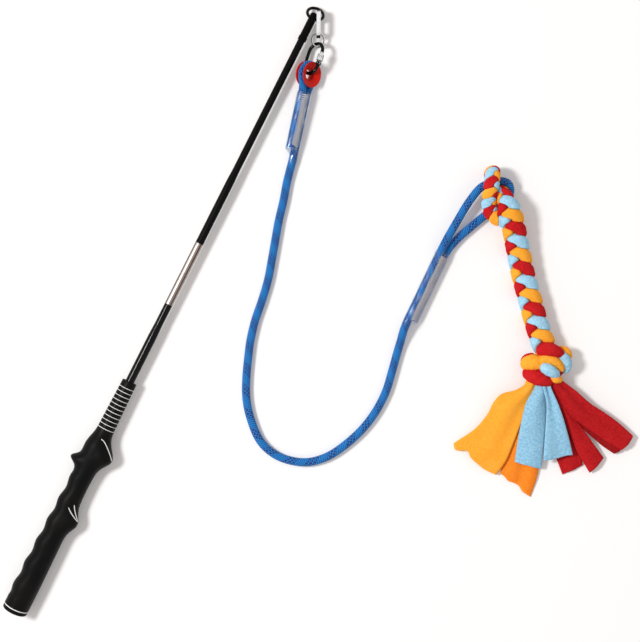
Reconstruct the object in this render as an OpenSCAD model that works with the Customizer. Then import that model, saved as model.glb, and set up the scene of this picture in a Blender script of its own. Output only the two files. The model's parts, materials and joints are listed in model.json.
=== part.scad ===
// Dog flirt pole: a two-piece pole with a moulded grip, a chain of links at its tip,
// a rope with a sewn eye at each end, and a plaited fleece toy.
// The pole lies along +Y with the butt's end face at the origin, and the floor is below it.

/* [Grip] */
// Length from the butt's end face to the grip's mouth
grip_length = 271; // [240:1:300]
// Radius of the grip at its butt
butt_radius = 13.4; // [12:0.1:15]
// Radius of the grip's neck at its mouth
mouth_radius = 7.8; // [7:0.1:8.8]
// Length of the ribbed neck
neck_length = 58; // [54:1:64]
// Height of the finger waves
wave_height = 0.9; // [0.4:0.1:1.4]
// Spacing of the finger waves
wave_spacing = 25.3; // [20:0.1:30]
// How far the finger spur stands out
spur_height = 8.5; // [4:0.5:10]
// How far the upper thumb rest stands out
upper_rest_height = 8.5; // [4:0.5:10]
// How far the lower thumb rest stands out
lower_rest_height = 7; // [3:0.5:9]
// Number of white rings in the neck
stripe_count = 11; // [6:1:11]
// Width of a white ring
stripe_width = 1.6; // [1:0.1:2.2]
// Spacing of the white rings
stripe_spacing = 4.8; // [3.6:0.1:4.9]
// Depth of a white ring in the rubber
stripe_depth = 0.9; // [0.5:0.1:1.2]
// Length of the butt cap
cap_length = 4.6; // [4:0.1:7]
// Width of the white line above the butt cap
butt_line_width = 1; // [0.6:0.1:2]
// Radius of the hand-placing lines
mark_radius = 0.6; // [0.4:0.05:0.9]

/* [Pole] */
// Length of the pole from butt to tip
pole_length = 706; // [640:1:780]
// Diameter of the lower shaft in the grip
lower_shaft_d = 9.4; // [9:0.1:10]
// Diameter of the shafts at the joint
joint_d = 8.5; // [8:0.1:9]
// Diameter of the upper shaft at its tip
tip_shaft_d = 7.6; // [7:0.1:8]
// Diameter of the shafts' bore
shaft_bore_d = 4.6; // [3.5:0.1:5]
// Distance from the butt to the joint's seam
seam_y = 398; // [380:1:420]
// Length of each bright ferrule
ferrule_length = 36; // [32:1:44]
// Diameter of the shaft's tenon in a ferrule
tenon_d = 6.4; // [6:0.1:6.8]
// Length of the tenons
tenon_length = 12; // [8:0.5:14]
// Diameter of the joint's spigot
spigot_d = 5.4; // [4.6:0.1:6]
// Length of the spigot in the lower ferrule
spigot_length = 18; // [12:0.5:20]
// Length of the tip cap
tip_cap_length = 32; // [28:0.5:38]
// Diameter of the tip cap
tip_cap_d = 8.4; // [8.2:0.1:9]

/* [Links] */
// Wire diameter of the tip ring
ring_wire_d = 3.2; // [2.4:0.1:3.2]
// Radius of the tip ring to the middle of its wire
ring_radius = 8.7; // [8.2:0.1:10]
// Angle that the tip ring hangs below the pole
ring_drop = 36; // [28:1:40]
// Length of the spring clip
clip_length = 29; // [26:0.5:31]
// Height of the spring clip
clip_height = 15; // [14:0.5:16]
// Width of the spring clip's bar
clip_width = 4.2; // [3.8:0.1:4.8]
// Thickness of the spring clip's bar
clip_bar = 2.6; // [2.2:0.1:2.8]
// Wire diameter of the split ring
split_wire_d = 1.2; // [0.9:0.1:1.3]
// Radius of the split ring to the middle of its wire
split_radius = 7.15; // [6.8:0.05:8]
// Wire diameter of the carabiner
link_wire_d = 3.7; // [3.2:0.1:4]
// Length of the carabiner between the middles of its end arcs
link_length = 33.8; // [33:0.1:36]
// Radius of the carabiner's end arcs to the middle of the wire
link_radius = 9.3; // [9:0.1:9.6]
// Diameter of the carabiner's gate
gate_d = 3.4; // [3:0.1:3.6]
// Diameter of the carabiner's screw sleeve
lock_d = 6.8; // [6:0.1:7.4]
// Length of the carabiner's screw sleeve
lock_length = 7; // [5:0.5:7.5]

/* [Rope] */
// Diameter of the rope
rope_d = 8.8; // [8:0.1:9]
// Radius of the thimble's flanges
thimble_radius = 13.4; // [12.5:0.1:14]
// Length of the thimble along its bore
thimble_length = 11.8; // [11.6:0.1:12.2]
// Radius of the thimble's throat
throat_radius = 3.5; // [3.3:0.05:3.7]
// Length of the upper eye's sewn stretch
upper_sewn = 64; // [50:1:70]
// Length of the lower eye's sewn stretch
lower_sewn = 82; // [70:1:90]
// Wall of the clear shrink sleeves
sleeve_wall = 0.6; // [0.4:0.05:0.9]
// Thickness of the stitching thread
thread_d = 0.8; // [0.5:0.05:0.9]
// Spacing of the stitches
stitch_spacing = 4; // [3:0.1:6]

/* [Toy] */
// Half the width of the plaited body
plait_half_width = 11.6; // [9:0.1:12]
// Half the thickness of the plaited body
plait_half_height = 9.8; // [8:0.1:10.5]
// Length of one plait turn of a strand
plait_turn = 45; // [36:1:50]
// Diameter of the thin plait that makes the loop
loop_d = 11.6; // [10:0.1:11.8]
// Half the width of the knot
knot_half_width = 24; // [20:0.5:26]
// Half the height of the knot
knot_half_height = 14.5; // [12:0.5:15]
// Thickness of the fleece strips
fleece_thickness = 2.4; // [1.8:0.1:2.6]

/* [Hidden] */
$fn = 48;
// How far a cut runs past the face that it opens
overrun = 1;
// A step small enough to take a direction from
small_share = 0.01;
// Gap between pieces that lie against each other
seat_gap = 0.2;
// Radial clearance of a pin or spigot that turns or slides
running_gap = 0.06;
// Height of the floor under the grip
floor_gap = 0.1;
floor_z = -butt_radius - floor_gap;

// Grip places along Y, as shares of the length, and radii as shares of the butt's radius
grip_shares = [
    [0, 1], [0.1, 1.01], [0.25, 0.96], [0.37, 0.91], [0.47, 0.86], [0.56, 0.82],
    [0.62, 0.87], [0.68, 0.97], [0.72, 0.99], [0.745, 0.87], [0.765, 0.75], [0.787, 0.68]
];
wave_start_share = 0.103;
wave_end_share = 0.6;
spur_share = 0.642;
upper_rest_share = 0.69;
lower_rest_share = 0.41;
// Half lengths of the spur and the thumb rests along the grip
spur_half = 5.5;
rest_half = 11;
// Sides of the grip by angle from the top, and how sharply a bump falls off round it
finger_side = 270;
thumb_side = 80;
bump_power = 3;
grip_rings = 64;
grip_sides = 28;
neck_y = grip_length - neck_length;
neck_radius = grip_shares[len(grip_shares) - 1][1] * butt_radius;
cap_rounding = 2;
stripe_lead_share = 1.6;
sleeve_y = cap_length + butt_line_width;
mark_sides = 6;
mark_rings = 9;
// Ends of the hand-placing lines, as shares of the grip's length and angles from the top
mark_shares = [
    [[0.752, 6], [0.695, 74]],
    [[0.458, 12], [0.423, 70]],
    [[0.479, 30], [0.426, 72]]
];

// Steps in the stepped shafts
upper_step_reach = 122;
lower_step_y = seam_y - ferrule_length - tenon_length * 2;
upper_step_y = seam_y + upper_step_reach;
step_length = 14;
lower_end_y = seam_y - ferrule_length;
upper_start_y = seam_y + ferrule_length;
shaft_in_cap_d = 6;
cap_seat_share = 0.62;
cap_seat_y = pole_length - tip_cap_length * cap_seat_share;
cap_rim_length = 4;
cap_rim_swell = 0.4;
tip_rounding = 2.6;
spigot_in_upper = 14;
socket_depth = spigot_length + seat_gap;

// Tip ring in the cap's cross hole
hole_inset = 6.2;
hole_y = pole_length - hole_inset;
ring_sag = ring_radius - sqrt(pow(ring_radius, 2) - pow(tip_cap_d / 2, 2));
hole_d = ring_wire_d + ring_sag + 4 * seat_gap;

// Spring clip round the tip ring
clip_heading = -64;
clip_turn = 47;
clip_on_ring = [
    ring_radius * sin(clip_turn),
    ring_radius - ring_sag / 2 - ring_radius * cos(clip_turn),
    0
];
clip_point = [0, hole_y, 0] + turn_x(clip_on_ring, -ring_drop);
clip_inner = clip_height / 2 - clip_bar;
clip_seat = 2.1;
clip_lift = 0.8;
clip_mid = clip_point + [0, 0, clip_lift];
clip_straight = clip_length - clip_height;
clip_gate_gap = 0.3;
clip_gate_width = 2;
clip_slot_width = clip_gate_width + 2 * seat_gap;
clip_pin_d = 1.2;
clip_pin_x = clip_straight;
clip_gate_y = -(clip_height - clip_bar) / 2;
clip_gate_end = 0.4;
clip_mouth = clip_pin_x - clip_pin_d - clip_gate_end;
clip_gate_low = clip_gate_y - clip_bar / 2 + seat_gap;
clip_spring_d = 0.9;
clip_spring_length = 4;

// Split ring from the clip's far end to the carabiner's top
split_drop = 22;
split_heading = [0.4, -0.92, 0];
split_turn_gap = 0.6;
split_pitch = split_wire_d + split_turn_gap;
split_turns = 2;
split_rings = 24;
split_sides = 6;
split_inset = 2.8;
split_reach = clip_straight + clip_inner - split_inset - clip_seat;
split_lower = 1.9;
split_point = clip_mid + turn_z([split_reach, 0, 0], clip_heading) - [0, 0, split_lower];
split_center = split_point + split_radius * unit(split_heading);

// Carabiner: its top lies in the split ring and its bottom arc passes through the thimble
link_top_shift = [1.8, -3.2, 0];
link_top = split_center + link_top_shift;
link_roll = 42;
link_pitch = 5.6;
link_heading = 9;
link_bottom = link_top - turn_z(turn_x([0, link_length, 0], -link_pitch), link_heading);
link_straight = link_length - 2 * link_radius;
gate_pivot_rise = 2.6;
gate_pivot_y = link_radius + gate_pivot_rise;
gate_ear_radius = 2.3;
gate_ear_width = 3.9;
gate_tongue = 1.6;
gate_slot = gate_tongue + 2 * seat_gap;
gate_pin_d = 1.4;
gate_end_y = link_length - link_radius;
gate_end_gap = 0.3;
gate_root_gap = 0.35;
gate_root_y = gate_ear_radius + gate_root_gap;
lock_start_gap = 0.3;
lock_start_y = gate_root_y + lock_start_gap;
lock_cone_share = 0.3;
lock_rib_count = 12;
lock_rib_depth = 0.4;
link_spring_d = 1.4;
link_spring_length = 4;
link_spring_start = 3.4;

// Thimble and the upper eye of the rope
eye_heading = 14.5;
eye_tilt = 48;
eye_pitch = 3.2;
sewn_tilt = 58;
thimble_slack = 0.9;
thimble_center = link_bottom + turn_z([0, -thimble_slack, 0], eye_heading);
mouth_share = 0.47;
thimble_wall = 1.3;
groove_radius = throat_radius + thimble_wall;
rope_radius = rope_d / 2;
eye_radius = groove_radius + rope_radius + seat_gap;
leg_offset = rope_radius + seat_gap;
eye_steps = 9;
eye_close = 9;
eye_wrap = 16;
tail_length = 3;
rope_sides = 10;
rope_floor_z = floor_z + rope_radius + seat_gap;
sleeve_gap = 0.55;
stitch_width = 5;

// Route of the rope between its sewn stretches, from the thimble's middle
rope_route = [
    [30, -110], [36, -131], [41, -152], [47, -172], [53, -192], [59, -213], [63, -235], [66, -257],
    [71, -278], [78, -298], [86, -318], [96, -337], [110, -354], [128, -369], [148, -375], [168, -373],
    [186, -365], [201, -350], [212, -330], [220, -308], [224, -285], [224, -262], [220, -239], [216, -218],
    [214, -202]
];
// Start of the lower sewn stretch, and the eye's loop past it, with heights over the floor
lower_leg_start = [213.5, -186];
lower_leg_heading = 1.2;
lower_tilt = 50;
lower_eye_route = [
    [210, -66, 13.5], [211, -50, 15], [213, -36, 16], [216, -25, 17], [223, -16.5, 17],
    [231, -10, 15], [240, -8, 11.6], [246.5, -14.5, 7.6], [245.5, -26.5, 5], [239.5, -38, 4.8],
    [233, -50, 4.8], [226, -67, 4.8], [220, -86, 4.8]
];

// Fleece toy: middle line of the plaited body from the thimble's middle, with heights over the floor
toy_line = [
    [246.2, -21.9, 23.2], [252, -29, 21], [262, -42, 17.2], [270, -53, 14.6], [278, -64, 13], [285, -74, 12.6],
    [293, -85, 12.6], [302, -95, 12.6], [311, -104, 12.6], [320, -114, 12.6], [329, -123, 12.6],
    [339, -132, 12.8], [350, -143, 13.8]
];
toy_stations = 72;
plait_sides = 10;
plait_side_share = 0.48;
plait_rise_share = 0.42;
plait_gap = 1.4;
plait_start = 312;
plait_roll = 50;
loop_sides = 10;
// Thin plait: down through the rope's eye, under its upper leg, and back over it to the body's side
loop_route = [
    [239.5, -16, 23], [234, -23, 13.5], [229, -21.5, 7.6], [223.5, -16.5, 6.2], [219.5, -9.5, 7.3],
    [217.3, -6, 11.5], [217.5, -5.5, 17], [218.2, -7.5, 23], [219.5, -11.5, 27], [221.5, -17, 28],
    [223.7, -26, 26], [226.5, -35, 22], [232, -42, 18.5], [239, -45.5, 16.5], [245, -46.5, 16]
];
loop_turn_axis = [0.72, 0.69, 0];
knot_center = [361.5, -162.2];
knot_heading = -55;
knot_length = 40;
knot_height = 15.6;
knot_lobe_share = 0.07;
knot_lobes = 3;
knot_twist = 200;
knot_cut_share = 0.86;
knot_rings = 12;
knot_sides = 20;

// Fleece strips: place along the knot's end face, then middle and tip from the thimble's middle,
// width at the root and the tip, and height over the floor at the root and the tip
tail_rings = 10;
tail_columns = 7;
tail_lead = 13;
tail_crown = 0.4;
tail_orange_1 = [-8, [340, -212], [334, -284], 12, 46, 11.8, 4.9];
tail_orange_2 = [-6, [371, -231], [391, -290], 12, 40, 8.6, 1.4];
tail_blue_1 = [-4, [376, -216], [391, -261], 13, 28, 15, 8.5];
tail_blue_2 = [3, [396, -204], [416, -239], 14, 30, 18.2, 12.2];
tail_red_1 = [10, [422, -182], [472, -198], 13, 31, 15, 7.2];
tail_red_2 = [7, [418, -198], [455, -230], 12, 22, 8.6, 1.4];
tail_red_3 = [5, [394, -214], [428, -248], 11, 28, 11.8, 5.5];

// Vectors turned about the axes, and other helpers
function unit(v) = v / norm(v);
function turn_x(v, a) = [v[0], v[1] * cos(a) - v[2] * sin(a), v[1] * sin(a) + v[2] * cos(a)];
function turn_y(v, a) = [v[0] * cos(a) + v[2] * sin(a), v[1], v[2] * cos(a) - v[0] * sin(a)];
function turn_z(v, a) = [v[0] * cos(a) - v[1] * sin(a), v[0] * sin(a) + v[1] * cos(a), v[2]];
function mix(a, b, t) = a + (b - a) * t;
function swell(d, half) = exp(-pow(d / half, 2));
// Value from a table of pairs at x, on straight lines between them
function from_table(table, x) = lookup(x, table);
// Smooth curve through four points
function curve_point(a, b, c, d, t) =
    (2 * b + (c - a) * t + (2 * a - 5 * b + 4 * c - d) * t * t + (3 * b - a - 3 * c + d) * t * t * t) / 2;
// Point at share t along a list of points
function along(points, t) =
    let (last = len(points) - 1, x = min(t * last, last - small_share / last), i = floor(x))
    curve_point(points[max(i - 1, 0)], points[i], points[i + 1], points[min(i + 2, last)], x - i);
function heading(path, i) = unit(path[min(i + 1, len(path) - 1)] - path[max(i - 1, 0)]);
// Ring of points round a path's point
function ring_at(path, i, radius, sides, ref) =
    let (t = heading(path, i), side = unit(cross(ref, t)), up = cross(t, side))
    [for (j = [0 : sides - 1]) path[i] + radius * (cos(360 * j / sides) * side + sin(360 * j / sides) * up)];
function tube_rings(path, radius, sides, ref) =
    [for (i = [0 : len(path) - 1]) ring_at(path, i, radius, sides, ref)];

// Closed skin over a row of rings with as many points each
module skin(rings) {
    count = len(rings);
    sides = len(rings[0]);
    points = [for (ring = rings) each ring];
    walls = [
        for (k = [0 : count - 2]) for (j = [0 : sides - 1])
            let (n = (j + 1) % sides, a = k * sides + j, b = k * sides + n)
            each [[a, a + sides, b + sides], [a, b + sides, b]]
    ];
    last = sides - 1;
    base = (count - 1) * sides;
    start = [
        for (j = [0 : sides / 2 - 2])
            each [[j, j + 1, last - j], [j + 1, last - 1 - j, last - j]]
    ];
    end = [for (f = start) [base + f[0], base + f[2], base + f[1]]];
    polyhedron(points = points, faces = concat(walls, start, end), convexity = 10);
}

// Cylinder along +Y from y
module rod_y(y, length, radius) {
    translate([0, y, 0])
        rotate([-90, 0, 0])
            cylinder(h = length, r = radius);
}

// Solid of revolution about Y, from points of radius and y
module turned_y(points) {
    rotate([-90, 0, 0])
        mirror([0, 1, 0])
            rotate_extrude()
                polygon(points);
}

// Oval of a given length and height, from circle to circle
module oval(length, height) {
    translate([0, -height / 2])
        square([length - height, height]);
    circle(d = height);
    translate([length - height, 0])
        circle(d = height);
}

// Grip
function grip_base(y) = butt_radius * from_table(grip_shares, y / grip_length);
function side_share(a, at, power) = pow(max(0, cos(a - at)), power);
function wave_on(y) = y > wave_start_share * grip_length / 2 && y < wave_end_share * grip_length ? 1 : 0;
function grip_wave(y) =
    wave_on(y) * wave_height * cos(360 * (y - wave_start_share * grip_length) / wave_spacing);
function bump(y, a, at_share, half, side) =
    swell(y - at_share * grip_length, half) * side_share(a, side, bump_power);
function grip_radius(y, a) =
    grip_base(y)
    + grip_wave(y) * side_share(a, finger_side, 1)
    + spur_height * bump(y, a, spur_share, spur_half, finger_side)
    + upper_rest_height * bump(y, a, upper_rest_share, rest_half, thumb_side)
    + lower_rest_height * bump(y, a, lower_rest_share, rest_half, thumb_side);
function grip_point(y, a, lift) =
    let (r = grip_radius(y, a) + lift)
    [r * sin(a), y, r * cos(a)];
function grip_ring(y) = [for (j = [0 : grip_sides - 1]) grip_point(y, 360 * j / grip_sides, 0)];

// Radius of the neck at a place along Y
function neck_at(y) = mix(neck_radius, mouth_radius, (y - neck_y) / neck_length);
function stripe_y(i) = grip_length - stripe_spacing * (i + stripe_lead_share);

module stripe(i, depth, lift) {
    y = stripe_y(i);
    turned_y([
        [neck_at(y) - depth, y],
        [neck_at(y) + lift, y],
        [neck_at(y + stripe_width) + lift, y + stripe_width],
        [neck_at(y + stripe_width) - depth, y + stripe_width]
    ]);
}

module grip_sleeve() {
    color([0.05, 0.05, 0.055])
        difference() {
            union() {
                skin([for (i = [0 : grip_rings]) grip_ring(mix(sleeve_y, neck_y, i / grip_rings))]);
                turned_y([
                    [0, neck_y - overrun],
                    [neck_at(neck_y) - seat_gap, neck_y - overrun],
                    [neck_at(neck_y), neck_y],
                    [mouth_radius, grip_length],
                    [0, grip_length]
                ]);
            }
            rod_y(-overrun, grip_length + 2 * overrun, lower_shaft_d / 2);
            for (i = [0 : stripe_count - 1])
                stripe(i, stripe_depth, overrun);
        }
}

module grip_stripes() {
    color([0.92, 0.92, 0.9])
        for (i = [0 : stripe_count - 1])
            stripe(i, stripe_depth, 0);
}

module grip_mark(from, to) {
    path = [
        for (i = [0 : mark_rings])
            let (place = mix(from, to, i / mark_rings))
            grip_point(place[0] * grip_length, place[1], mark_radius + seat_gap / 2)
    ];
    skin(tube_rings(path, mark_radius, mark_sides, [0, 0, 1]));
}

module grip_marks() {
    color([0.92, 0.92, 0.9])
        for (m = mark_shares)
            grip_mark(m[0], m[1]);
}

module butt_cap() {
    color([0.05, 0.05, 0.055])
        rotate([-90, 0, 0])
            mirror([0, 1, 0])
                rotate_extrude() {
                    square([butt_radius - cap_rounding, cap_length]);
                    translate([0, cap_rounding])
                        square([butt_radius, cap_length - cap_rounding]);
                    translate([butt_radius - cap_rounding, cap_rounding])
                        circle(r = cap_rounding);
                }
}

module butt_line() {
    color([0.92, 0.92, 0.9])
        difference() {
            rod_y(cap_length, butt_line_width, butt_radius);
            rod_y(cap_length - overrun, butt_line_width + 2 * overrun, lower_shaft_d / 2);
        }
}

// Pole
module lower_shaft() {
    color([0.03, 0.03, 0.03])
        difference() {
            turned_y([
                [0, cap_length],
                [lower_shaft_d / 2, cap_length],
                [lower_shaft_d / 2, lower_step_y - step_length],
                [joint_d / 2, lower_step_y],
                [joint_d / 2, lower_end_y],
                [tenon_d / 2, lower_end_y],
                [tenon_d / 2, lower_end_y + tenon_length],
                [0, lower_end_y + tenon_length]
            ]);
            rod_y(cap_length - overrun, lower_end_y + tenon_length, shaft_bore_d / 2);
        }
}

module lower_ferrule() {
    color([0.75, 0.75, 0.76])
        difference() {
            rod_y(lower_end_y, ferrule_length, joint_d / 2);
            rod_y(lower_end_y - overrun, tenon_length + overrun, tenon_d / 2);
            rod_y(seam_y - socket_depth, socket_depth + overrun, spigot_d / 2 + running_gap);
        }
}

module joint_spigot() {
    color([0.6, 0.6, 0.62])
        rod_y(seam_y - spigot_length, spigot_length + spigot_in_upper, spigot_d / 2);
}

module upper_ferrule() {
    color([0.75, 0.75, 0.76])
        difference() {
            rod_y(seam_y + seat_gap, ferrule_length - seat_gap, joint_d / 2);
            rod_y(seam_y - overrun, spigot_in_upper + overrun, spigot_d / 2);
            rod_y(upper_start_y - tenon_length, tenon_length + overrun, tenon_d / 2);
        }
}

module upper_shaft() {
    color([0.03, 0.03, 0.03])
        difference() {
            turned_y([
                [0, upper_start_y - tenon_length],
                [tenon_d / 2, upper_start_y - tenon_length],
                [tenon_d / 2, upper_start_y],
                [joint_d / 2, upper_start_y],
                [joint_d / 2, upper_step_y - step_length],
                [tip_shaft_d / 2, upper_step_y],
                [tip_shaft_d / 2, pole_length - tip_cap_length],
                [shaft_in_cap_d / 2, pole_length - tip_cap_length],
                [shaft_in_cap_d / 2, cap_seat_y],
                [0, cap_seat_y]
            ]);
            rod_y(upper_start_y - tenon_length - overrun, pole_length, shaft_bore_d / 2);
        }
}

module tip_cap() {
    radius = tip_cap_d / 2;
    start = pole_length - tip_cap_length;
    color([0.04, 0.04, 0.04])
        difference() {
            union() {
                rotate([-90, 0, 0])
                    mirror([0, 1, 0])
                        rotate_extrude() {
                            translate([0, start])
                                square([radius, tip_cap_length - tip_rounding]);
                            translate([0, start])
                                square([radius - tip_rounding, tip_cap_length]);
                            translate([radius - tip_rounding, pole_length - tip_rounding])
                                intersection() {
                                    circle(r = tip_rounding);
                                    square(tip_rounding);
                                }
                        }
                rod_y(start, cap_rim_length, radius + cap_rim_swell);
            }
            rod_y(start - overrun, cap_seat_y - start + overrun, shaft_in_cap_d / 2);
            translate([0, hole_y, 0])
                rotate([0, 90, 0])
                    cylinder(h = 4 * radius, d = hole_d, center = true);
        }
}

// Links at the tip
module tip_ring() {
    color([0.04, 0.04, 0.04])
        translate([0, hole_y, 0])
            rotate([-ring_drop, 0, 0])
                translate([0, ring_radius - ring_sag / 2, 0])
                    rotate_extrude()
                        translate([ring_radius, 0])
                            circle(d = ring_wire_d);
}

module at_clip() {
    translate(clip_mid)
        rotate([90, 0, clip_heading])
            translate([-clip_seat, 0, 0])
                children();
}

// The gate hangs at the end by the tip ring and closes toward the split ring
module at_clip_gate() {
    translate([clip_straight, 0, 0])
        mirror([1, 0, 0])
            children();
}

module clip_body() {
    color([0.82, 0.82, 0.84])
        at_clip()
            difference() {
                linear_extrude(clip_width, center = true)
                    difference() {
                        oval(clip_length, clip_height);
                        oval(clip_length - 2 * clip_bar, clip_height - 2 * clip_bar);
                    }
                at_clip_gate() {
                    translate([clip_gate_end - clip_gate_gap, -clip_height, -clip_width])
                        cube([clip_mouth, clip_height - clip_inner, 2 * clip_width]);
                    translate([0, -clip_height, -clip_slot_width / 2])
                        cube([clip_pin_x + clip_bar, clip_height - clip_inner + seat_gap, clip_slot_width]);
                    translate([clip_pin_x, clip_gate_y, 0])
                        cylinder(h = 2 * clip_width, d = clip_pin_d, center = true);
                }
            }
}

module clip_gate() {
    color([0.78, 0.78, 0.8])
        at_clip()
            at_clip_gate()
                difference() {
                    union() {
                        translate([clip_gate_end, clip_gate_low, -clip_gate_width / 2])
                            cube([clip_pin_x - clip_gate_end, clip_bar - 2 * seat_gap, clip_gate_width]);
                        translate([clip_pin_x, clip_gate_y, 0])
                            cylinder(h = clip_gate_width, r = clip_bar / 2 - seat_gap, center = true);
                    }
                    translate([clip_pin_x, clip_gate_y, 0])
                        cylinder(h = 2 * clip_width, r = clip_pin_d / 2 + running_gap, center = true);
                    at_clip_spring(seat_gap / 2);
                }
}

module at_clip_spring(room) {
    translate([clip_gate_end + clip_bar / 2 - room, clip_gate_y, 0])
        rotate([0, 90, 0])
            cylinder(h = clip_spring_length + 2 * room, r = clip_spring_d / 2 + room);
}

module clip_pin() {
    color([0.6, 0.6, 0.62])
        at_clip()
            at_clip_gate()
                translate([clip_pin_x, clip_gate_y, 0])
                    cylinder(h = clip_width, d = clip_pin_d, center = true);
}

module clip_spring() {
    color([0.6, 0.6, 0.62])
        at_clip()
            at_clip_gate()
                at_clip_spring(0);
}

// Two-turn ring: a helix whose ends stop short of each other
split_path = [
    for (i = [0 : split_turns * split_rings - 1])
        let (a = 360 * i / split_rings)
        [split_radius * cos(a), split_radius * sin(a), split_pitch * (i / split_rings - split_turns / 2)]
];
split_self_gap = min([
    for (i = [0 : len(split_path) - 1]) for (j = [i + split_rings / 2 : len(split_path) - 1])
        norm(split_path[i] - split_path[j])
]) - split_wire_d;
echo(split_ring_least_self_gap = split_self_gap);

module split_ring() {
    color([0.8, 0.8, 0.82])
        translate(split_center)
            rotate([0, split_drop, 0])
                skin(tube_rings(split_path, split_wire_d / 2, split_sides, [0, 0, 1]));
}

module at_link() {
    translate(link_bottom)
        rotate([-link_pitch, 0, link_heading])
            rotate([0, -link_roll, 0])
                children();
}

// Half round wire arc with its ends at plus and minus the radius
module wire_arc(radius, wire_d, from, sweep) {
    rotate([0, 0, from])
        rotate_extrude(angle = sweep)
            translate([radius, 0])
                circle(d = wire_d);
}

module link_body() {
    color([0.04, 0.04, 0.045])
        at_link()
            difference() {
                union() {
                    translate([0, link_radius, 0])
                        wire_arc(link_radius, link_wire_d, 180, 180);
                    translate([0, link_length - link_radius, 0])
                        wire_arc(link_radius, link_wire_d, 0, 180);
                    translate([-link_radius, 0, 0])
                        rod_y(link_radius, link_straight, link_wire_d / 2);
                    translate([link_radius, 0, 0])
                        rod_y(link_radius, gate_pivot_y - link_radius, link_wire_d / 2);
                    translate([link_radius, gate_pivot_y, 0])
                        cylinder(h = gate_ear_width, r = gate_ear_radius, center = true);
                }
                translate([link_radius, gate_pivot_y, 0])
                    cylinder(h = 2 * gate_ear_width, d = gate_pin_d, center = true);
                translate([0, gate_pivot_y - gate_ear_radius + seat_gap, -gate_slot / 2])
                    cube([2 * link_radius, 2 * gate_ear_radius, gate_slot]);
            }
}

module at_gate() {
    at_link()
        translate([link_radius, gate_pivot_y, 0])
            children();
}

module link_gate() {
    color([0.75, 0.75, 0.76])
        at_gate()
            difference() {
                union() {
                    cylinder(h = gate_tongue, r = gate_ear_radius - 2 * seat_gap, center = true);
                    translate([-gate_d / 2 + seat_gap, 0, -gate_tongue / 2])
                        cube([gate_d - 2 * seat_gap, gate_root_y, gate_tongue]);
                    rod_y(gate_root_y, gate_end_y - gate_end_gap - gate_pivot_y - gate_root_y, gate_d / 2);
                }
                cylinder(h = 2 * gate_tongue, r = gate_pin_d / 2 + running_gap, center = true);
                link_spring_rod(seat_gap / 2);
            }
}

module link_pin() {
    color([0.6, 0.6, 0.62])
        at_gate()
            cylinder(h = gate_ear_width, d = gate_pin_d, center = true);
}

module link_spring() {
    color([0.6, 0.6, 0.62])
        at_gate()
            link_spring_rod(0);
}

module link_spring_rod(room) {
    rod_y(link_spring_start - room, link_spring_length + 2 * room, link_spring_d / 2 + room);
}

module link_sleeve() {
    cone = lock_length * lock_cone_share;
    color([0.7, 0.7, 0.7])
        at_gate()
            difference() {
                turned_y([
                    [gate_d / 2 + running_gap, lock_start_y],
                    [lock_d / 2, lock_start_y],
                    [lock_d / 2, lock_start_y + lock_length - cone],
                    [gate_d / 2 + cone / 2, lock_start_y + lock_length],
                    [gate_d / 2 + running_gap, lock_start_y + lock_length]
                ]);
                for (i = [0 : lock_rib_count - 1])
                    rotate([0, 360 * i / lock_rib_count, 0])
                        translate([lock_d / 2, 0, 0])
                            rod_y(lock_start_y - overrun, lock_length - cone + overrun, lock_rib_depth);
            }
}

// Thimble: a spool with a flared throat and a groove for the rope
module at_eye() {
    translate(thimble_center)
        rotate([0, 0, eye_heading])
            rotate([eye_pitch, 0, 0])
                rotate([0, eye_tilt, 0])
                    children();
}

module thimble() {
    half = thimble_length / 2;
    mouth = thimble_radius * mouth_share;
    flare = (pow(half, 2) + pow(mouth - throat_radius, 2)) / (2 * (mouth - throat_radius));
    color([0.85, 0.16, 0.1])
        at_eye()
            rotate_extrude()
                difference() {
                    translate([0, -half])
                        square([thimble_radius, thimble_length]);
                    translate([eye_radius, 0])
                        circle(r = rope_radius + seat_gap);
                    translate([eye_radius, -rope_radius - seat_gap])
                        square([thimble_radius, 2 * rope_radius + 2 * seat_gap]);
                    difference() {
                        translate([-overrun, -thimble_length])
                            square([mouth + overrun, 2 * thimble_length]);
                        translate([throat_radius + flare, 0])
                            circle(r = flare);
                    }
                }
}

// Rope
function eye_world(p, tilt) =
    thimble_center + turn_z(turn_x(turn_y([p[0], p[1], 0], tilt), eye_pitch), eye_heading);
leg_top_y = -eye_radius - eye_close;
leg_bottom_y = leg_top_y - upper_sewn;
eye_arc = [
    for (i = [0 : eye_steps])
        let (a = mix(180 + eye_wrap, -eye_wrap, i / eye_steps))
        [eye_radius * cos(a), eye_radius * sin(a)]
];
leg_places = [leg_bottom_y, (leg_bottom_y + leg_top_y) / 2, leg_top_y];
upper_eye_path = concat(
    [eye_world([-leg_offset, leg_bottom_y + tail_length], sewn_tilt)],
    [for (i = [1 : 2]) eye_world([-leg_offset, leg_places[i]], sewn_tilt)],
    [for (p = eye_arc) eye_world(p, eye_tilt)],
    [for (i = [2 : -1 : 0]) eye_world([leg_offset, leg_places[i]], sewn_tilt)]
);

function route_point(p) = [thimble_center[0] + p[0], thimble_center[1] + p[1], rope_floor_z];
function over_floor(p) = [thimble_center[0] + p[0], thimble_center[1] + p[1], floor_z + p[2]];

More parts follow.
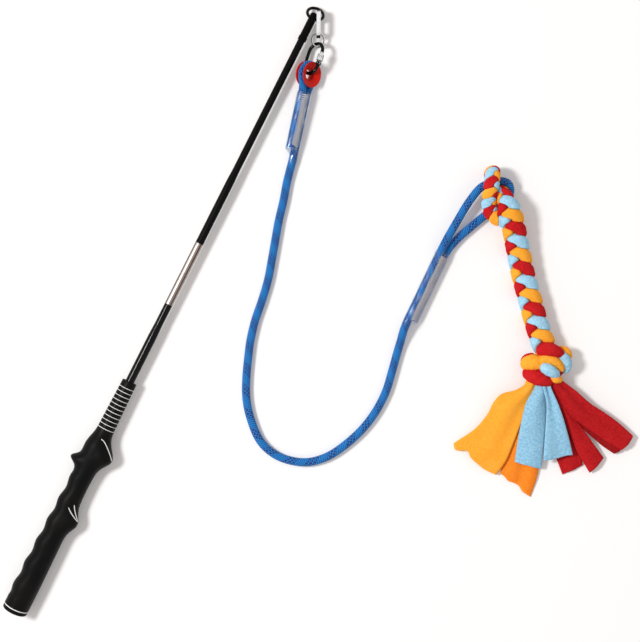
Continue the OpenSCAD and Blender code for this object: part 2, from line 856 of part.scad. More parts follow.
// Lower sewn stretch: the main leg above and beside the tail
lower_leg_rise = leg_offset * sin(lower_tilt) + sleeve_gap + sleeve_wall;
function lower_leg(side, y) =
    let (
        across = turn_z(turn_y([side * leg_offset, 0, 0], lower_tilt), lower_leg_heading),
        middle = route_point(lower_leg_start) + turn_z([0, y, 0], lower_leg_heading)
    )
    middle + across + [0, 0, lower_leg_rise];
lower_rise = 8;
rope_main_path = concat(
    [eye_world([leg_offset, leg_bottom_y - rope_d], sewn_tilt)],
    [for (p = rope_route) route_point(p)]
);
lower_eye_path = concat(
    [lower_leg(-1, 0), lower_leg(-1, lower_sewn / 2), lower_leg(-1, lower_sewn + lower_rise)],
    [for (p = lower_eye_route) over_floor(p)],
    [lower_leg(1, lower_sewn + lower_rise), lower_leg(1, lower_sewn / 2), lower_leg(1, tail_length)]
);

// The whole rope, and the places where its nodes meet
eye_axis = turn_z(turn_x(turn_y([0, 0, 1], eye_tilt), eye_pitch), eye_heading);
rope_path = concat(upper_eye_path, rope_main_path, lower_eye_path);
upper_seam = len(upper_eye_path) - 1;
lower_seam = len(upper_eye_path) + len(rope_main_path);

module rope(first, last, ref) {
    color([0.1, 0.4, 0.75])
        skin([for (i = [first : last]) ring_at(rope_path, i, rope_radius, rope_sides, ref)]);
}

module rope_upper_eye() rope(0, upper_seam, eye_axis);
module rope_main() rope(upper_seam, lower_seam, [0, 0, 1]);
module rope_lower_eye() rope(lower_seam, len(rope_path) - 1, [0, 0, 1]);

module at_upper_leg() {
    translate(thimble_center)
        rotate([0, 0, eye_heading])
            rotate([eye_pitch, 0, 0])
                rotate([0, sewn_tilt, 0])
                    children();
}

module at_lower_leg() {
    translate(route_point(lower_leg_start) + [0, 0, lower_leg_rise])
        rotate([0, 0, lower_leg_heading])
            rotate([0, lower_tilt, 0])
                children();
}

// Thread bars across the valley between two rope legs, on both faces, from y upward
module stitching(y, length) {
    count = floor(length / stitch_spacing) - 2;
    rest = rope_radius - pow(leg_offset - stitch_width / 2, 2) / rope_d;
    for (face = [-1, 1], i = [0 : count])
        translate([-stitch_width / 2, y + stitch_spacing * (i + 1), face * (rest + thread_d / 2)])
            rotate([0, 90, 0])
                cylinder(h = stitch_width, d = thread_d, $fn = 12);
}

// Oval clear tube round two rope legs, from y upward
module shrink_sleeve(y, length) {
    inner = rope_d + 2 * sleeve_gap;
    translate([-leg_offset, y, 0])
        rotate([-90, 0, 0])
            linear_extrude(length)
                difference() {
                    oval(2 * leg_offset + inner + 2 * sleeve_wall, inner + 2 * sleeve_wall);
                    oval(2 * leg_offset + inner, inner);
                }
}

module upper_stitching() {
    color([0.85, 0.86, 0.88])
        at_upper_leg()
            stitching(leg_bottom_y, upper_sewn);
}

module lower_stitching() {
    color([0.85, 0.86, 0.88])
        at_lower_leg()
            stitching(0, lower_sewn);
}

module upper_sleeve() {
    color([0.8, 0.9, 0.97, 0.4])
        at_upper_leg()
            shrink_sleeve(leg_bottom_y, upper_sewn);
}

module lower_sleeve() {
    color([0.8, 0.9, 0.97, 0.4])
        at_lower_leg()
            shrink_sleeve(0, lower_sewn);
}

// Fleece toy
function toy_point(p) = over_floor(p);
toy_points = [for (p = toy_line) toy_point(p)];
toy_path = [for (i = [0 : toy_stations]) along(toy_points, i / toy_stations)];
function path_length(path, i) = i == 0 ? 0 : path_length(path, i - 1) + norm(path[i] - path[i - 1]);
plait_side = plait_half_width * plait_side_share;
plait_rise = plait_half_height * plait_rise_share;
strand_radius = plait_half_width - plait_side;

// Middle of one strand across the plait at a phase
function strand_at(phase) = [plait_side * sin(phase), plait_rise * sin(2 * phase)];
// Reach of a strand's section at angle a, kept on its own side of each neighbour
function half_reach(from, to, a) =
    let (d = to - from, c = (d[0] * cos(a) + d[1] * sin(a)) / norm(d))
    c > small_share ? (norm(d) - plait_gap) / (2 * c) : strand_radius;
function strand_reach(phase, a) =
    let (p = strand_at(phase))
    min(strand_radius, half_reach(p, strand_at(phase + 120), a), half_reach(p, strand_at(phase + 240), a));
function strand_ring(i, start) =
    let (
        t = heading(toy_path, i),
        flat = unit(cross([0, 0, 1], t)),
        rise = cross(t, flat),
        side = flat * cos(plait_roll) + rise * sin(plait_roll),
        up = rise * cos(plait_roll) - flat * sin(plait_roll),
        phase = start + 360 * path_length(toy_path, i) / plait_turn,
        p = strand_at(phase)
    )
    [
        for (j = [0 : plait_sides - 1])
            let (a = 360 * j / plait_sides, r = strand_reach(phase, a))
            toy_path[i] + side * (p[0] + r * cos(a)) + up * (p[1] + r * sin(a))
    ];

module strand(start) {
    skin([for (i = [0 : toy_stations]) strand_ring(i, plait_start + start)]);
}

module toy_strand_orange() {
    color([0.98, 0.6, 0.12])
        strand(0);
}

module toy_strand_red() {
    color([0.8, 0.12, 0.13])
        strand(240);
}

module toy_strand_blue() {
    color([0.55, 0.78, 0.88])
        strand(120);
}

loop_path = [for (p = loop_route) over_floor(p)];

module toy_loop() {
    color([0.98, 0.6, 0.12])
        skin(tube_rings(loop_path, loop_d / 2, loop_sides, loop_turn_axis));
}

// Knot: rings along the toy, swollen in the middle and lobed where strands cross
function knot_ring(t) =
    let (reach = sqrt(1 - pow(2 * knot_cut_share * t - knot_cut_share, 2)))
    [
        for (j = [0 : knot_sides - 1])
            let (a = 360 * j / knot_sides, lobe = 1 + knot_lobe_share * cos(knot_lobes * a + knot_twist * t))
            turn_z([
                knot_length * (t - 1 / 2),
                knot_half_width * reach * lobe * cos(a),
                knot_half_height * reach * lobe * sin(a)
            ], knot_heading)
    ];

module toy_knot() {
    color([0.9, 0.4, 0.12])
        translate(over_floor([knot_center[0], knot_center[1], knot_height]))
            skin([for (i = [0 : knot_rings]) knot_ring(i / knot_rings)]);
}

// Strip of fleece from its root under the knot to its tip, with a slight crown
knot_ahead = [cos(knot_heading), sin(knot_heading)];
knot_across = [-knot_ahead[1], knot_ahead[0]];
knot_face = knot_center + knot_ahead * (knot_length / 2 + seat_gap);
function bend(a, b, c, d, t) =
    mix(mix(mix(a, b, t), mix(b, c, t), t), mix(mix(b, c, t), mix(c, d, t), t), t);
function tail_place(tail, t) =
    let (root = knot_face + knot_across * tail[0])
    bend(root, root + knot_ahead * tail_lead, tail[1], tail[2], t);
function tail_ring(tail, t) =
    let (
        at = tail_place(tail, t),
        ahead = unit(tail_place(tail, t + small_share) - tail_place(tail, t)),
        side = [-ahead[1], ahead[0]],
        width = mix(tail[3], tail[4], t),
        high = mix(tail[6], tail[5], pow(1 - t, 2)),
        flat = [
            for (j = [0 : tail_columns])
                let (s = 2 * j / tail_columns - 1, p = at + side * width * s / 2)
                over_floor([p[0], p[1], high + tail_crown * (1 - s * s) * t])
        ]
    )
    concat(
        [for (j = [0 : tail_columns]) flat[j] - [0, 0, fleece_thickness / 2]],
        [for (j = [tail_columns : -1 : 0]) flat[j] + [0, 0, fleece_thickness / 2]]
    );

module tail(points) {
    skin([for (i = [0 : tail_rings]) tail_ring(points, i / tail_rings)]);
}

module orange_tail_1() color([0.98, 0.6, 0.12]) tail(tail_orange_1);
module orange_tail_2() color([0.98, 0.6, 0.12]) tail(tail_orange_2);
module blue_tail_1() color([0.55, 0.78, 0.88]) tail(tail_blue_1);
module blue_tail_2() color([0.55, 0.78, 0.88]) tail(tail_blue_2);
module red_tail_1() color([0.8, 0.12, 0.13]) tail(tail_red_1);
module red_tail_2() color([0.8, 0.12, 0.13]) tail(tail_red_2);
module red_tail_3() color([0.8, 0.12, 0.13]) tail(tail_red_3);

grip_sleeve();
grip_stripes();
grip_marks();
butt_cap();
butt_line();
lower_shaft();
lower_ferrule();
joint_spigot();
upper_ferrule();
upper_shaft();
tip_cap();
tip_ring();
clip_body();
clip_gate();
clip_pin();
clip_spring();
split_ring();
link_body();
link_gate();
link_pin();
link_spring();
link_sleeve();
thimble();
rope_upper_eye();
rope_main();
rope_lower_eye();
upper_stitching();
lower_stitching();
upper_sleeve();
lower_sleeve();
toy_loop();
toy_strand_orange();
toy_strand_red();
toy_strand_blue();
toy_knot();
orange_tail_1();
orange_tail_2();
blue_tail_1();
blue_tail_2();
red_tail_1();
red_tail_2();
red_tail_3();
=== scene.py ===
import json
import bpy
import numpy as np
from mathutils import Matrix


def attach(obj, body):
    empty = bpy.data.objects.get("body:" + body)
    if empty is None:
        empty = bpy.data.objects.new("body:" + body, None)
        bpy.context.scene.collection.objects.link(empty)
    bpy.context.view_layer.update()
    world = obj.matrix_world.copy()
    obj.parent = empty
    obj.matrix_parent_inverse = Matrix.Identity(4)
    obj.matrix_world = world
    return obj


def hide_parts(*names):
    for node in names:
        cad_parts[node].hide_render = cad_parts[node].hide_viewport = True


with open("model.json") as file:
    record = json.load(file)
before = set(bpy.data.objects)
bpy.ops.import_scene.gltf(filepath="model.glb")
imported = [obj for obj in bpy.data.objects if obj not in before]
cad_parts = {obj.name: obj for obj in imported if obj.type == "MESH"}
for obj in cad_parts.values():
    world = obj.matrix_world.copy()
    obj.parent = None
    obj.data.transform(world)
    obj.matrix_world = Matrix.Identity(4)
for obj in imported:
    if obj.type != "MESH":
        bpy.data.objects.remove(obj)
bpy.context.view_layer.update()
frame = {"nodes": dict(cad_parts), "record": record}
nodes = frame["nodes"]
mm = 0.001
floorZ = -13.5  # the floor under the pole's middle line, in mm as the sizes of all pieces below
joints = {joint["name"]: joint for joint in frame["record"]["behaviour"]["joints"]}
eyeMiddle = np.array(joints["rope_swing"]["pos_m"]) / mm  # the thimble's middle; the rope is laid from it
eyeAxis = np.array(joints["rope_swing"]["axis"])
print("frame loaded:", len(nodes), "nodes")

# camera: straight down, turned so that the pole runs up to the right
shot = {  # lean is the direction of the picture's right side
    "middle": (150.5, 418.3), "height": 1330.0, "across": 675.2, "lean": (0.8932, 0.4496),
    "pixels": (640, 642), "sensor": 36,
}
shotRight = np.array(shot["lean"])
shotUp = np.array([-shot["lean"][1], shot["lean"][0]])


def addObject(name, data):
    # a new object in the scene, at the origin
    made = bpy.data.objects.new(name, data)
    bpy.context.scene.collection.objects.link(made)
    return made


camera = addObject("camera", bpy.data.cameras.new("camera"))
camera.data.sensor_fit = "HORIZONTAL"
camera.data.sensor_width = shot["sensor"]
camera.data.lens = shot["sensor"] * shot["height"] / shot["across"]
camera.data.clip_end = 50
camera.matrix_world = Matrix((
    (shotRight[0], shotUp[0], 0, shot["middle"][0] * mm),
    (shotRight[1], shotUp[1], 0, shot["middle"][1] * mm),
    (0, 0, 1, shot["height"] * mm),
    (0, 0, 0, 1)))
bpy.context.scene.camera = camera


def spot(marks):
    # place seen at a pixel: camera middle + pixel offset x size of a pixel, which shrinks as height z
    # nears the camera
    marks = np.asarray(marks, float)
    size = shot["across"] / shot["pixels"][0] * (1 - marks[..., 2:3] / shot["height"])
    aside = (marks[..., 0:1] - shot["pixels"][0] / 2) * shotRight
    upward = (shot["pixels"][1] / 2 - marks[..., 1:2]) * shotUp
    return np.concatenate([np.array(shot["middle"]) + (aside + upward) * size, marks[..., 2:3]], -1)


class Wire:
    # one output of a node; sums and products of wires add Math nodes
    def __init__(self, tree, out):
        self.tree, self.out = tree, out

    def node(self, kind, settings=None, values=None, out=0):
        # any node: settings first, then the values or wires of its sockets
        made = self.tree.nodes.new("ShaderNode" + kind)
        for key, value in (settings or {}).items():
            if key == "stops":
                while len(made.color_ramp.elements) < len(value):
                    made.color_ramp.elements.new(0.5)
                for stop, (place, colour) in zip(made.color_ramp.elements, value):
                    stop.position, stop.color = place, colour
            else:
                setattr(made, key, value)
        for key, value in (values or {}).items():
            if isinstance(value, Wire):
                self.tree.links.new(value.out, made.inputs[key])
            else:
                made.inputs[key].default_value = value
        return Wire(self.tree, made.outputs[out])

    def maths(self, operation, first, second=None):
        values = {0: first} if second is None else {0: first, 1: second}
        return self.node("Math", {"operation": operation}, values)

    def __add__(self, other):
        return self.maths("ADD", self, other)

    def __radd__(self, other):
        return self.maths("ADD", other, self)

    def __sub__(self, other):
        return self.maths("SUBTRACT", self, other)

    def __rsub__(self, other):
        return self.maths("SUBTRACT", other, self)

    def __mul__(self, other):
        return self.maths("MULTIPLY", self, other)

    def __rmul__(self, other):
        return self.maths("MULTIPLY", other, self)

    def __truediv__(self, other):
        return self.maths("DIVIDE", self, other)

    def __rtruediv__(self, other):
        return self.maths("DIVIDE", other, self)

    def __gt__(self, other):
        return self.maths("GREATER_THAN", self, other)

    def wave(self):
        return self.maths("SINE", self)

    def size(self):
        return self.maths("ABSOLUTE", self)

    def fraction(self):
        return self.maths("FRACT", self)

    def part(self, axis):
        # one number of a vector: 0, 1 or 2 for x, y or z
        return self.node("SeparateXYZ", None, {0: self}, axis)

    def ease(self, low, high):
        # 0 below low, 1 above high, smooth between
        return self.node("MapRange", {"interpolation_type": "SMOOTHSTEP"}, {0: self, 1: low, 2: high})

    def blend(self, first, second):
        # first colour at 0, second at 1
        return self.node("Mix", {"data_type": "RGBA"}, {0: self, 6: first, 7: second}, 2)

    def noise(self, scale, detail=3.0, rough=0.55):
        values = {"Vector": self, "Scale": scale, "Detail": detail, "Roughness": rough}
        return self.node("TexNoise", None, values)

    def bump(self, distance, strength=1.0):
        return self.node("Bump", None, {"Height": self, "Distance": distance, "Strength": strength})


def tone(red, green, blue):
    # colour as read off a screen, 0 to 255, in linear light
    level = np.array([red, green, blue]) / 255
    level = np.where(level < 0.04045, level / 12.92, ((level + 0.055) / 1.055) ** 2.4)
    return (*[float(x) for x in level], 1.0)


def newLook(name, fixed):
    # a Principled material with its constant sockets set, and its object coordinates
    look = bpy.data.materials.new(name)
    look.use_nodes = True
    shader = look.node_tree.nodes["Principled BSDF"]
    for key, value in fixed.items():
        shader.inputs[key].default_value = value
    coords = look.node_tree.nodes.new("ShaderNodeTexCoord")
    return look, Wire(look.node_tree, coords.outputs["Object"])


def join(look, **feeds):
    # links wires to the shader's sockets
    sockets = {"baseColor": "Base Color", "roughness": "Roughness", "normal": "Normal"}
    shader = look.node_tree.nodes["Principled BSDF"]
    for key, wire in feeds.items():
        look.node_tree.links.new(wire.out, shader.inputs[sockets[key]])
    return look


def rubberLook(name, dark, light, rough, gloss):
    # moulded rubber: fine grain, and paler where it is rubbed
    look, place = newLook(name, {"Specular IOR Level": gloss})
    rub = place.noise(45, 4).ease(0.35, 0.75)
    grain = place.noise(2600, 2)
    return join(look, baseColor=rub.blend(dark, light), roughness=rough + 0.12 * grain - 0.06 * rub,
                normal=(grain * 0.6 + place.noise(600, 2)).bump(0.00012, 0.5))


def metalLook(name, dark, light, paintedReflection, rough, brush):
    # bright metal: faint brushed bands along the pole, small handling marks, and a painted reflection of a
    # dark room in its base colour where the normal turns sideways; the third argument is that painted tone,
    # or a ramp of painted reflection and painted highlight tones from the left edge to the right edge
    look, place = newLook(name, {"Metallic": 1.0})
    lines = place.node("Mapping", None, {"Vector": place, "Scale": (1.0, brush, 1.0)}).noise(900, 2)
    marks = place.noise(140, 5).ease(0.45, 0.75)
    faces = place.node("TexCoord", None, None, "Normal")
    # painted reflection and painted highlight: a ramp of tones set by the normal's left-right part, nearly
    # covering the metal's own colour
    if isinstance(paintedReflection, list):
        across = faces.part(0) * 0.5 + 0.5
        paintedReflection = across.node("ValToRGB", {"stops": paintedReflection}, {0: across})
        side = marks * 0.15 + 0.85
    else:
        # painted reflection: the dark tone where the normal turns sideways
        side = faces.part(2).size().ease(0.86, 0.5)
    return join(look, baseColor=side.blend(marks.blend(light, dark), paintedReflection),
                roughness=rough + 0.08 * lines + 0.06 * marks, normal=lines.bump(0.00002, 0.25))


def plasticLook(name, dark, light, rough, shine, gloss=0.0):
    # moulded or lacquered: faint orange peel, thin scuffs
    fixed = {"Coat Weight": gloss, "Coat Roughness": 0.06, "Specular IOR Level": shine}
    look, place = newLook(name, fixed)
    scuff = place.noise(160, 5, 0.65).ease(0.52, 0.8)
    peel = place.noise(1500, 2)
    return join(look, baseColor=scuff.blend(dark, light), roughness=rough + 0.1 * scuff,
                normal=peel.bump(0.00003, 0.3))


def fleeceLook(name, pale, hollowShade, worn):
    # brushed fleece: short pile in clumps, with a deeper tone painted as shade in the hollows between them,
    # softly matted in places
    look, place = newLook(name, {"Roughness": 0.95, "Specular IOR Level": 0.1, "Sheen Weight": 0.25,
                                 "Sheen Roughness": 0.45, "Sheen Tint": pale})
    pile = place.noise(1500, 4, 0.7)
    clump = place.noise(420, 3, 0.6)
    matted = place.noise(60, 3).ease(0.45, 0.75)
    # painted shade: the deeper tone follows the low parts of the pile's bump
    depth = (pile * 0.65 + clump * 0.5).ease(0.42, 0.72)
    return join(look, baseColor=(matted * 0.45).blend(depth.blend(hollowShade, pale), worn),
                normal=(pile * 0.7 + clump).bump(0.0006, 0.5))


# the rope's sheath: pitch of its lumps, how many stand round it, how high, and a turn of its dotted band
sheath = {"pitch": 4.4, "around": 6, "lump": 0.11, "winding": 23.6}


def ropeLook(name):
    # braided sheath: u in metres along the rope and v round it; a dotted band winds along it, and painted
    # shade darkens the valleys between its ribs
    look, place = newLook(name, {"Specular IOR Level": 0.25, "Sheen Weight": 0.1})
    uv = place.node("TexCoord", None, None, "UV")
    u, v = uv.part(0), uv.part(1)
    lengthwise = 2 * np.pi / (sheath["pitch"] * mm)
    across = v * (2 * np.pi * sheath["around"])
    pick = (u * lengthwise).wave() * across.wave()  # small lozenges
    rib = (u * (2 * lengthwise) + across).wave()
    band = (u / (sheath["winding"] * mm) + v).fraction()
    inBand = (band - 0.5).size().ease(0.3, 0.22)
    dots = inBand * pick.ease(0.08, 0.28)
    fibre = place.noise(2200, 3)
    blue = fibre.blend(tone(10, 108, 190), tone(44, 150, 220))
    # painted shade: darker blue in the valleys between the ribs
    blue = rib.ease(-0.9, 0.0).blend(tone(4, 62, 140), blue)
    return join(look, baseColor=dots.blend(blue, tone(36, 28, 96)), roughness=0.62 + 0.15 * fibre,
                normal=(pick.size() * 0.8 + 0.5 * rib + 0.25 * fibre).bump(0.00035, 0.8))


finishes = {  # how each is made, then its tones and its gloss
    "gripRubber": (rubberLook, tone(8, 7, 7), tone(14, 13, 12), 0.4, 0.07),
    "whiteRubber": (rubberLook, tone(226, 226, 222), tone(240, 240, 238), 0.55, 0.3),
    "glossBlack": (plasticLook, tone(4, 4, 4), tone(9, 9, 10), 0.08, 0.1, 0.04),
    "satinBlack": (plasticLook, tone(7, 6, 6), tone(13, 12, 12), 0.4, 0.06),
    "capPlastic": (plasticLook, tone(5, 5, 5), tone(11, 10, 10), 0.4, 0.04),
    # ferrule: its own tones, then painted reflection and painted highlight tones from the left edge to the
    # right edge
    "ferruleMetal": (
        metalLook, tone(116, 106, 100), tone(160, 150, 144),
        [(0, tone(24, 20, 18)), (0.12, tone(36, 30, 27)), (0.18, tone(172, 164, 158)),
         (0.42, tone(180, 172, 166)), (0.54, tone(150, 135, 127)), (0.71, tone(136, 119, 110)),
         (0.77, tone(46, 36, 31)), (0.86, tone(50, 39, 34)), (0.91, tone(176, 163, 154)),
         (1, tone(124, 110, 102))], 0.34, 0.05),
    # the third tone of these metals is a painted reflection of a dark room
    "brightNickel": (metalLook, tone(196, 196, 198), tone(240, 240, 240), tone(52, 52, 54), 0.16, 1.0),
    "pinSteel": (metalLook, tone(120, 120, 122), tone(170, 170, 172), tone(70, 70, 72), 0.3, 1.0),
    "blackEnamel": (plasticLook, tone(4, 4, 4), tone(9, 9, 9), 0.2, 0.1, 0.03),
    "redPlastic": (plasticLook, tone(208, 30, 18), tone(220, 44, 28), 0.4, 0.1),
    "blueRope": (ropeLook,),
    "orangeFleece": (fleeceLook, tone(255, 178, 62), tone(255, 160, 42), tone(255, 182, 70)),
    "amberFleece": (fleeceLook, tone(255, 148, 48), tone(250, 126, 28), tone(255, 154, 52)),
    "redFleece": (fleeceLook, tone(206, 34, 38), tone(178, 20, 26), tone(212, 42, 44)),
    "wineFleece": (fleeceLook, tone(192, 32, 36), tone(164, 19, 24), tone(196, 38, 40)),
    # painted shade: a darker copy of the wine fleece, for the layer under the long red tail
    "darkWineFleece": (fleeceLook, tone(160, 24, 28), tone(134, 14, 18), tone(164, 28, 30)),
    "skyFleece": (fleeceLook, tone(164, 212, 238), tone(120, 174, 206), tone(152, 200, 226)),
    "blueFleece": (fleeceLook, tone(180, 226, 250), tone(138, 192, 222), tone(168, 216, 242)),
}
looks = {name: make(name, *values) for name, (make, *values) in finishes.items()}
dress = {  # the CAD nodes that stay, by finish
    "gripRubber": ("butt_cap",), "whiteRubber": ("butt_line", "grip_stripes"), "capPlastic": ("tip_cap",),
    "pinSteel": ("joint_spigot", "clip_pin", "clip_spring", "link_pin", "link_spring"),
    "brightNickel": ("clip_body", "clip_gate", "split_ring", "link_gate", "link_sleeve"),
    "blackEnamel": ("tip_ring", "link_body"),
}
for look, names in dress.items():
    for name in names:
        nodes[name].data.materials.clear()
        nodes[name].data.materials.append(looks[look])
print("finishes made:", len(looks))


def smoothPath(points, step, perSpan=48):
    # curve through the points, (2b + (c-a)t + (2a-5b+4c-d)t^2 + (3b-a-3c+d)t^3) / 2, then even steps along
    # its length
    p = np.asarray(points, float)
    p = np.vstack([2 * p[0] - p[1], p, 2 * p[-1] - p[-2]])
    a, b, c, d = (x[:, None] for x in (p[:-3], p[1:-2], p[2:-1], p[3:]))
    t = np.linspace(0, 1, perSpan, endpoint=False)[None, :, None]
    q = (2 * b + (c - a) * t + (2 * a - 5 * b + 4 * c - d) * t ** 2 + (3 * b - a - 3 * c + d) * t ** 3) / 2
    q = np.vstack([q.reshape(-1, p.shape[1]), p[-2]])
    reach = np.concatenate([[0], np.cumsum(np.linalg.norm(np.diff(q, axis=0), axis=1))])
    even = np.linspace(0, reach[-1], max(int(round(reach[-1] / step)), 2) + 1)
    return np.stack([np.interp(even, reach, q[:, k]) for k in range(p.shape[1])], 1), even


def unit(v):
    # v divided by its length
    return v / np.linalg.norm(v, axis=-1, keepdims=True)


def bell(steps, step, soften):
    # weights exp(-(s / soften)^2 / 2) at even steps to both sides of 0, with a sum of 1
    weights = np.exp(-0.5 * (np.arange(-steps, steps + 1) * step / soften) ** 2)
    return weights / weights.sum()


def carry(path, ref, section):
    # point = path + x side + y up, with side square to the path and to ref; section is rows x columns
    # x (x, y)
    t = unit(np.gradient(path, axis=0))
    side = unit(np.cross(np.broadcast_to(ref, path.shape), t))
    rise = np.cross(t, side)
    return path[:, None] + section[..., 0:1] * side[:, None] + section[..., 1:2] * rise[:, None]


def angles(columns):
    # even steps round a full turn
    return np.linspace(0, 2 * np.pi, columns, endpoint=False)


def ring(columns):
    # unit circle, (cos a, sin a)
    return np.stack([np.cos(angles(columns)), np.sin(angles(columns))], -1)


def turned(r, y, a):
    # about the pole's middle line: (r sin a, y, r cos a)
    return np.stack(np.broadcast_arrays(r * np.sin(a), y, r * np.cos(a)), -1)


def roundEnd(reach, first, last):
    # share of full size near both ends, a quarter circle: sqrt(1 - (1 - s / r)^2)
    a = np.clip(reach / max(first, 1e-6), 0, 1)
    b = np.clip((reach[-1] - reach) / max(last, 1e-6), 0, 1)
    return np.sqrt(np.clip(1 - (1 - a) ** 2, 0.0004, 1)) * np.sqrt(np.clip(1 - (1 - b) ** 2, 0.0004, 1))


def surface(name, grid, look, body, stands=(), zipped=False, along=None, loop=False):
    # rows x columns x 3 grid in mm, closed round its columns; its ends meet (loop), are zipped flat or are
    # closed by a fan
    rows, columns = grid.shape[:2]
    i, j = np.arange(rows if loop else rows - 1)[:, None], np.arange(columns)[None, :]
    k, n = (j + 1) % columns, (i + 1) % rows
    faces = np.stack([i * columns + j, i * columns + k, n * columns + k, n * columns + j], -1)
    faces = faces.reshape(-1, 4).tolist()
    points = grid.reshape(-1, 3)
    last = (rows - 1) * columns
    one = np.arange(columns)
    two = (one + 1) % columns
    if zipped:
        h = np.arange(columns // 2 - 1)
        ends = np.stack([h + 1, h, columns - 1 - h, columns - 2 - h], -1)
        faces += ends.tolist() + (last + ends[:, ::-1]).tolist()
    elif not loop:
        points = np.vstack([points, grid[0].mean(0), grid[-1].mean(0)])
        faces += np.stack([np.full(columns, len(points) - 2), two, one], -1).tolist()
        faces += np.stack([np.full(columns, len(points) - 1), last + one, last + two], -1).tolist()
    mesh = bpy.data.meshes.new(name)
    mesh.from_pydata((points * mm).tolist(), [], faces)
    if along is not None:  # u in metres along, v once round
        begin, end = along[:-1, None], along[1:, None]
        u = np.broadcast_to(np.stack([begin, begin, end, end], -1), (rows - 1, columns, 4)) * mm
        v = np.broadcast_to(np.stack([j, j + 1, j + 1, j], -1) / columns, (rows - 1, columns, 4))
        flat = np.zeros((len(mesh.loops), 2), np.float32)
        flat[:u.size, 0], flat[:u.size, 1] = u.ravel(), v.ravel()
        mesh.uv_layers.new(name="along").data.foreach_set("uv", flat.ravel())
    mesh.polygons.foreach_set("use_smooth", np.ones(len(mesh.polygons), bool))
    mesh.update()
    mesh.materials.append(looks[look])
    piece = addObject(name, mesh)
    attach(piece, body)
    if stands:
        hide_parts(*stands)
    return piece


# rope: one length from the sewn tail, round the upper eye, down the loop and back through the lower eye
rope = {  # points from the thimble's middle; those of run and lowerEye give their height over the floor
    "diameter": 8.8, "step": 0.5, "columns": 43, "cut": 0.9, "soften": 2.0, "softenSteps": 16,
    "eye": {"radius": 10.1, "from": 110.3, "to": -101.7, "steps": 10, "flat": 0.66, "flatFrom": 24,
            "flatOver": 12},
    "eyeUntil": (95, 175),  # the section turns from the eye's axis to upright between these lengths
    "tailLeg": [(17.54, -77.57, -0.54), (10.29, -49.54, 1.08), (2.29, -18.61, 2.87)],
    "mainLeg": [(6.9, -16.97, -4.92), (14.9, -47.9, -6.71), (22.9, -78.83, -8.49)],
    "run": [(25.1, -87.3, 5.4), (30, -110, 4.6), (36, -131, 4.6), (41, -152, 4.6), (47, -172, 4.6),
            (53, -192, 4.6), (59, -213, 4.6), (63, -235, 4.6), (66, -257, 4.6), (71, -278, 4.6),
            (78, -298, 4.6), (86, -318, 4.6), (96, -337, 4.6), (110, -354, 4.6), (128, -369, 4.6),
            (148, -375, 4.6), (168, -373, 4.6), (186, -365, 4.6), (201, -350, 4.6), (212, -330, 4.6),
            (220, -308, 4.6), (224, -285, 4.6), (224, -262, 4.6), (220, -239, 4.6), (216, -219, 4.7),
            (213.6, -206, 6.6), (210.9, -193, 11.2)],
    "lowerEye": [(210.2, -170, 12.8), (209.68, -145, 12.8), (208.66, -96, 12.8), (210, -66, 13.5),
                 (211, -50, 15), (213, -36, 16.2), (216, -25, 17.3), (223, -16.5, 17.6), (231, -10, 16.3),
                 (240, -8, 12.8), (246.5, -14.5, 8.4), (245.5, -26.5, 5.5), (239.5, -38, 4.9),
                 (233, -50, 4.8), (226, -66, 4.8), (220.6, -79, 4.9), (217, -90, 5.2),
                 (214.8, -103, 5.75), (215.59, -145, 5.75), (216.39, -183, 5.75)],
}
# eye: middle + radius (u cos a + w sin a), with u and w square to the eye's axis
eye = rope["eye"]
eyeTurn = np.radians(np.linspace(eye["from"], eye["to"], eye["steps"]))[:, None]
eyeAcross = unit(np.cross([0, 0, 1], eyeAxis))
eyeUpward = np.cross(eyeAxis, eyeAcross)
eyeRing = eye["radius"] * (np.cos(eyeTurn) * eyeAcross + np.sin(eyeTurn) * eyeUpward)
ropeStart = eyeMiddle + np.vstack([rope["tailLeg"], eyeRing, rope["mainLeg"]])
ropeRest = np.vstack([rope["run"], rope["lowerEye"]]) + np.array([eyeMiddle[0], eyeMiddle[1], floorZ])
ropePath = smoothPath(np.vstack([ropeStart, ropeRest]), rope["step"])[0]
# kinks eased: each point becomes the mean of its neighbours, weighed by a bell; the ends are mirrored
steps = rope["softenSteps"]
before = 2 * ropePath[0] - ropePath[steps:0:-1]
after = 2 * ropePath[-1] - ropePath[-2:-2 - steps:-1]
weights = bell(steps, rope["step"], rope["soften"])
ropeWide = np.vstack([before, ropePath, after])
ropePath = np.stack([np.convolve(axis, weights, "valid") for axis in ropeWide.T], 1)
ropePath, ropeReach = smoothPath(ropePath[::2], rope["step"])
eyeEnd, runStart = rope["eyeUntil"]
eyeShare = 1 - np.clip((ropeReach - eyeEnd) / (runStart - eyeEnd), 0, 1)[:, None]
ropeRef = unit(eyeShare * eyeAxis + (1 - eyeShare) * np.array([0, 0, 1]))
# radius = r - w + w |sin(n a) sin(2 pi s / pitch)|, the sheath's plaited lumps, with the cut ends rounded in
lengthwise = np.sin(2 * np.pi * ropeReach[:, None] / sheath["pitch"])
lump = np.abs(np.sin(sheath["around"] * angles(rope["columns"])[None, :]) * lengthwise)
ropeRadius = rope["diameter"] / 2 - sheath["lump"] + sheath["lump"] * lump
ropeRadius = ropeRadius * roundEnd(ropeReach, rope["cut"], rope["cut"])[:, None]
# pressed flat in the thimble's groove
ropeFar = np.linalg.norm(ropePath - eyeMiddle, axis=1)[:, None]
ropeFlat = 1 - (1 - eye["flat"]) * np.clip((eye["flatFrom"] - ropeFar) / eye["flatOver"], 0, 1)
ropeOval = np.stack([np.ones_like(ropeFlat), ropeFlat], -1)
ropeRing = ropeRadius[..., None] * ring(rope["columns"])[None] * ropeOval
ropePiece = surface("rope", carry(ropePath, ropeRef, ropeRing), "blueRope", "rope",
                    ("rope_upper_eye", "rope_main", "rope_lower_eye"), along=ropeReach)
print("rope laid:", round(float(ropeReach[-1])), "mm")

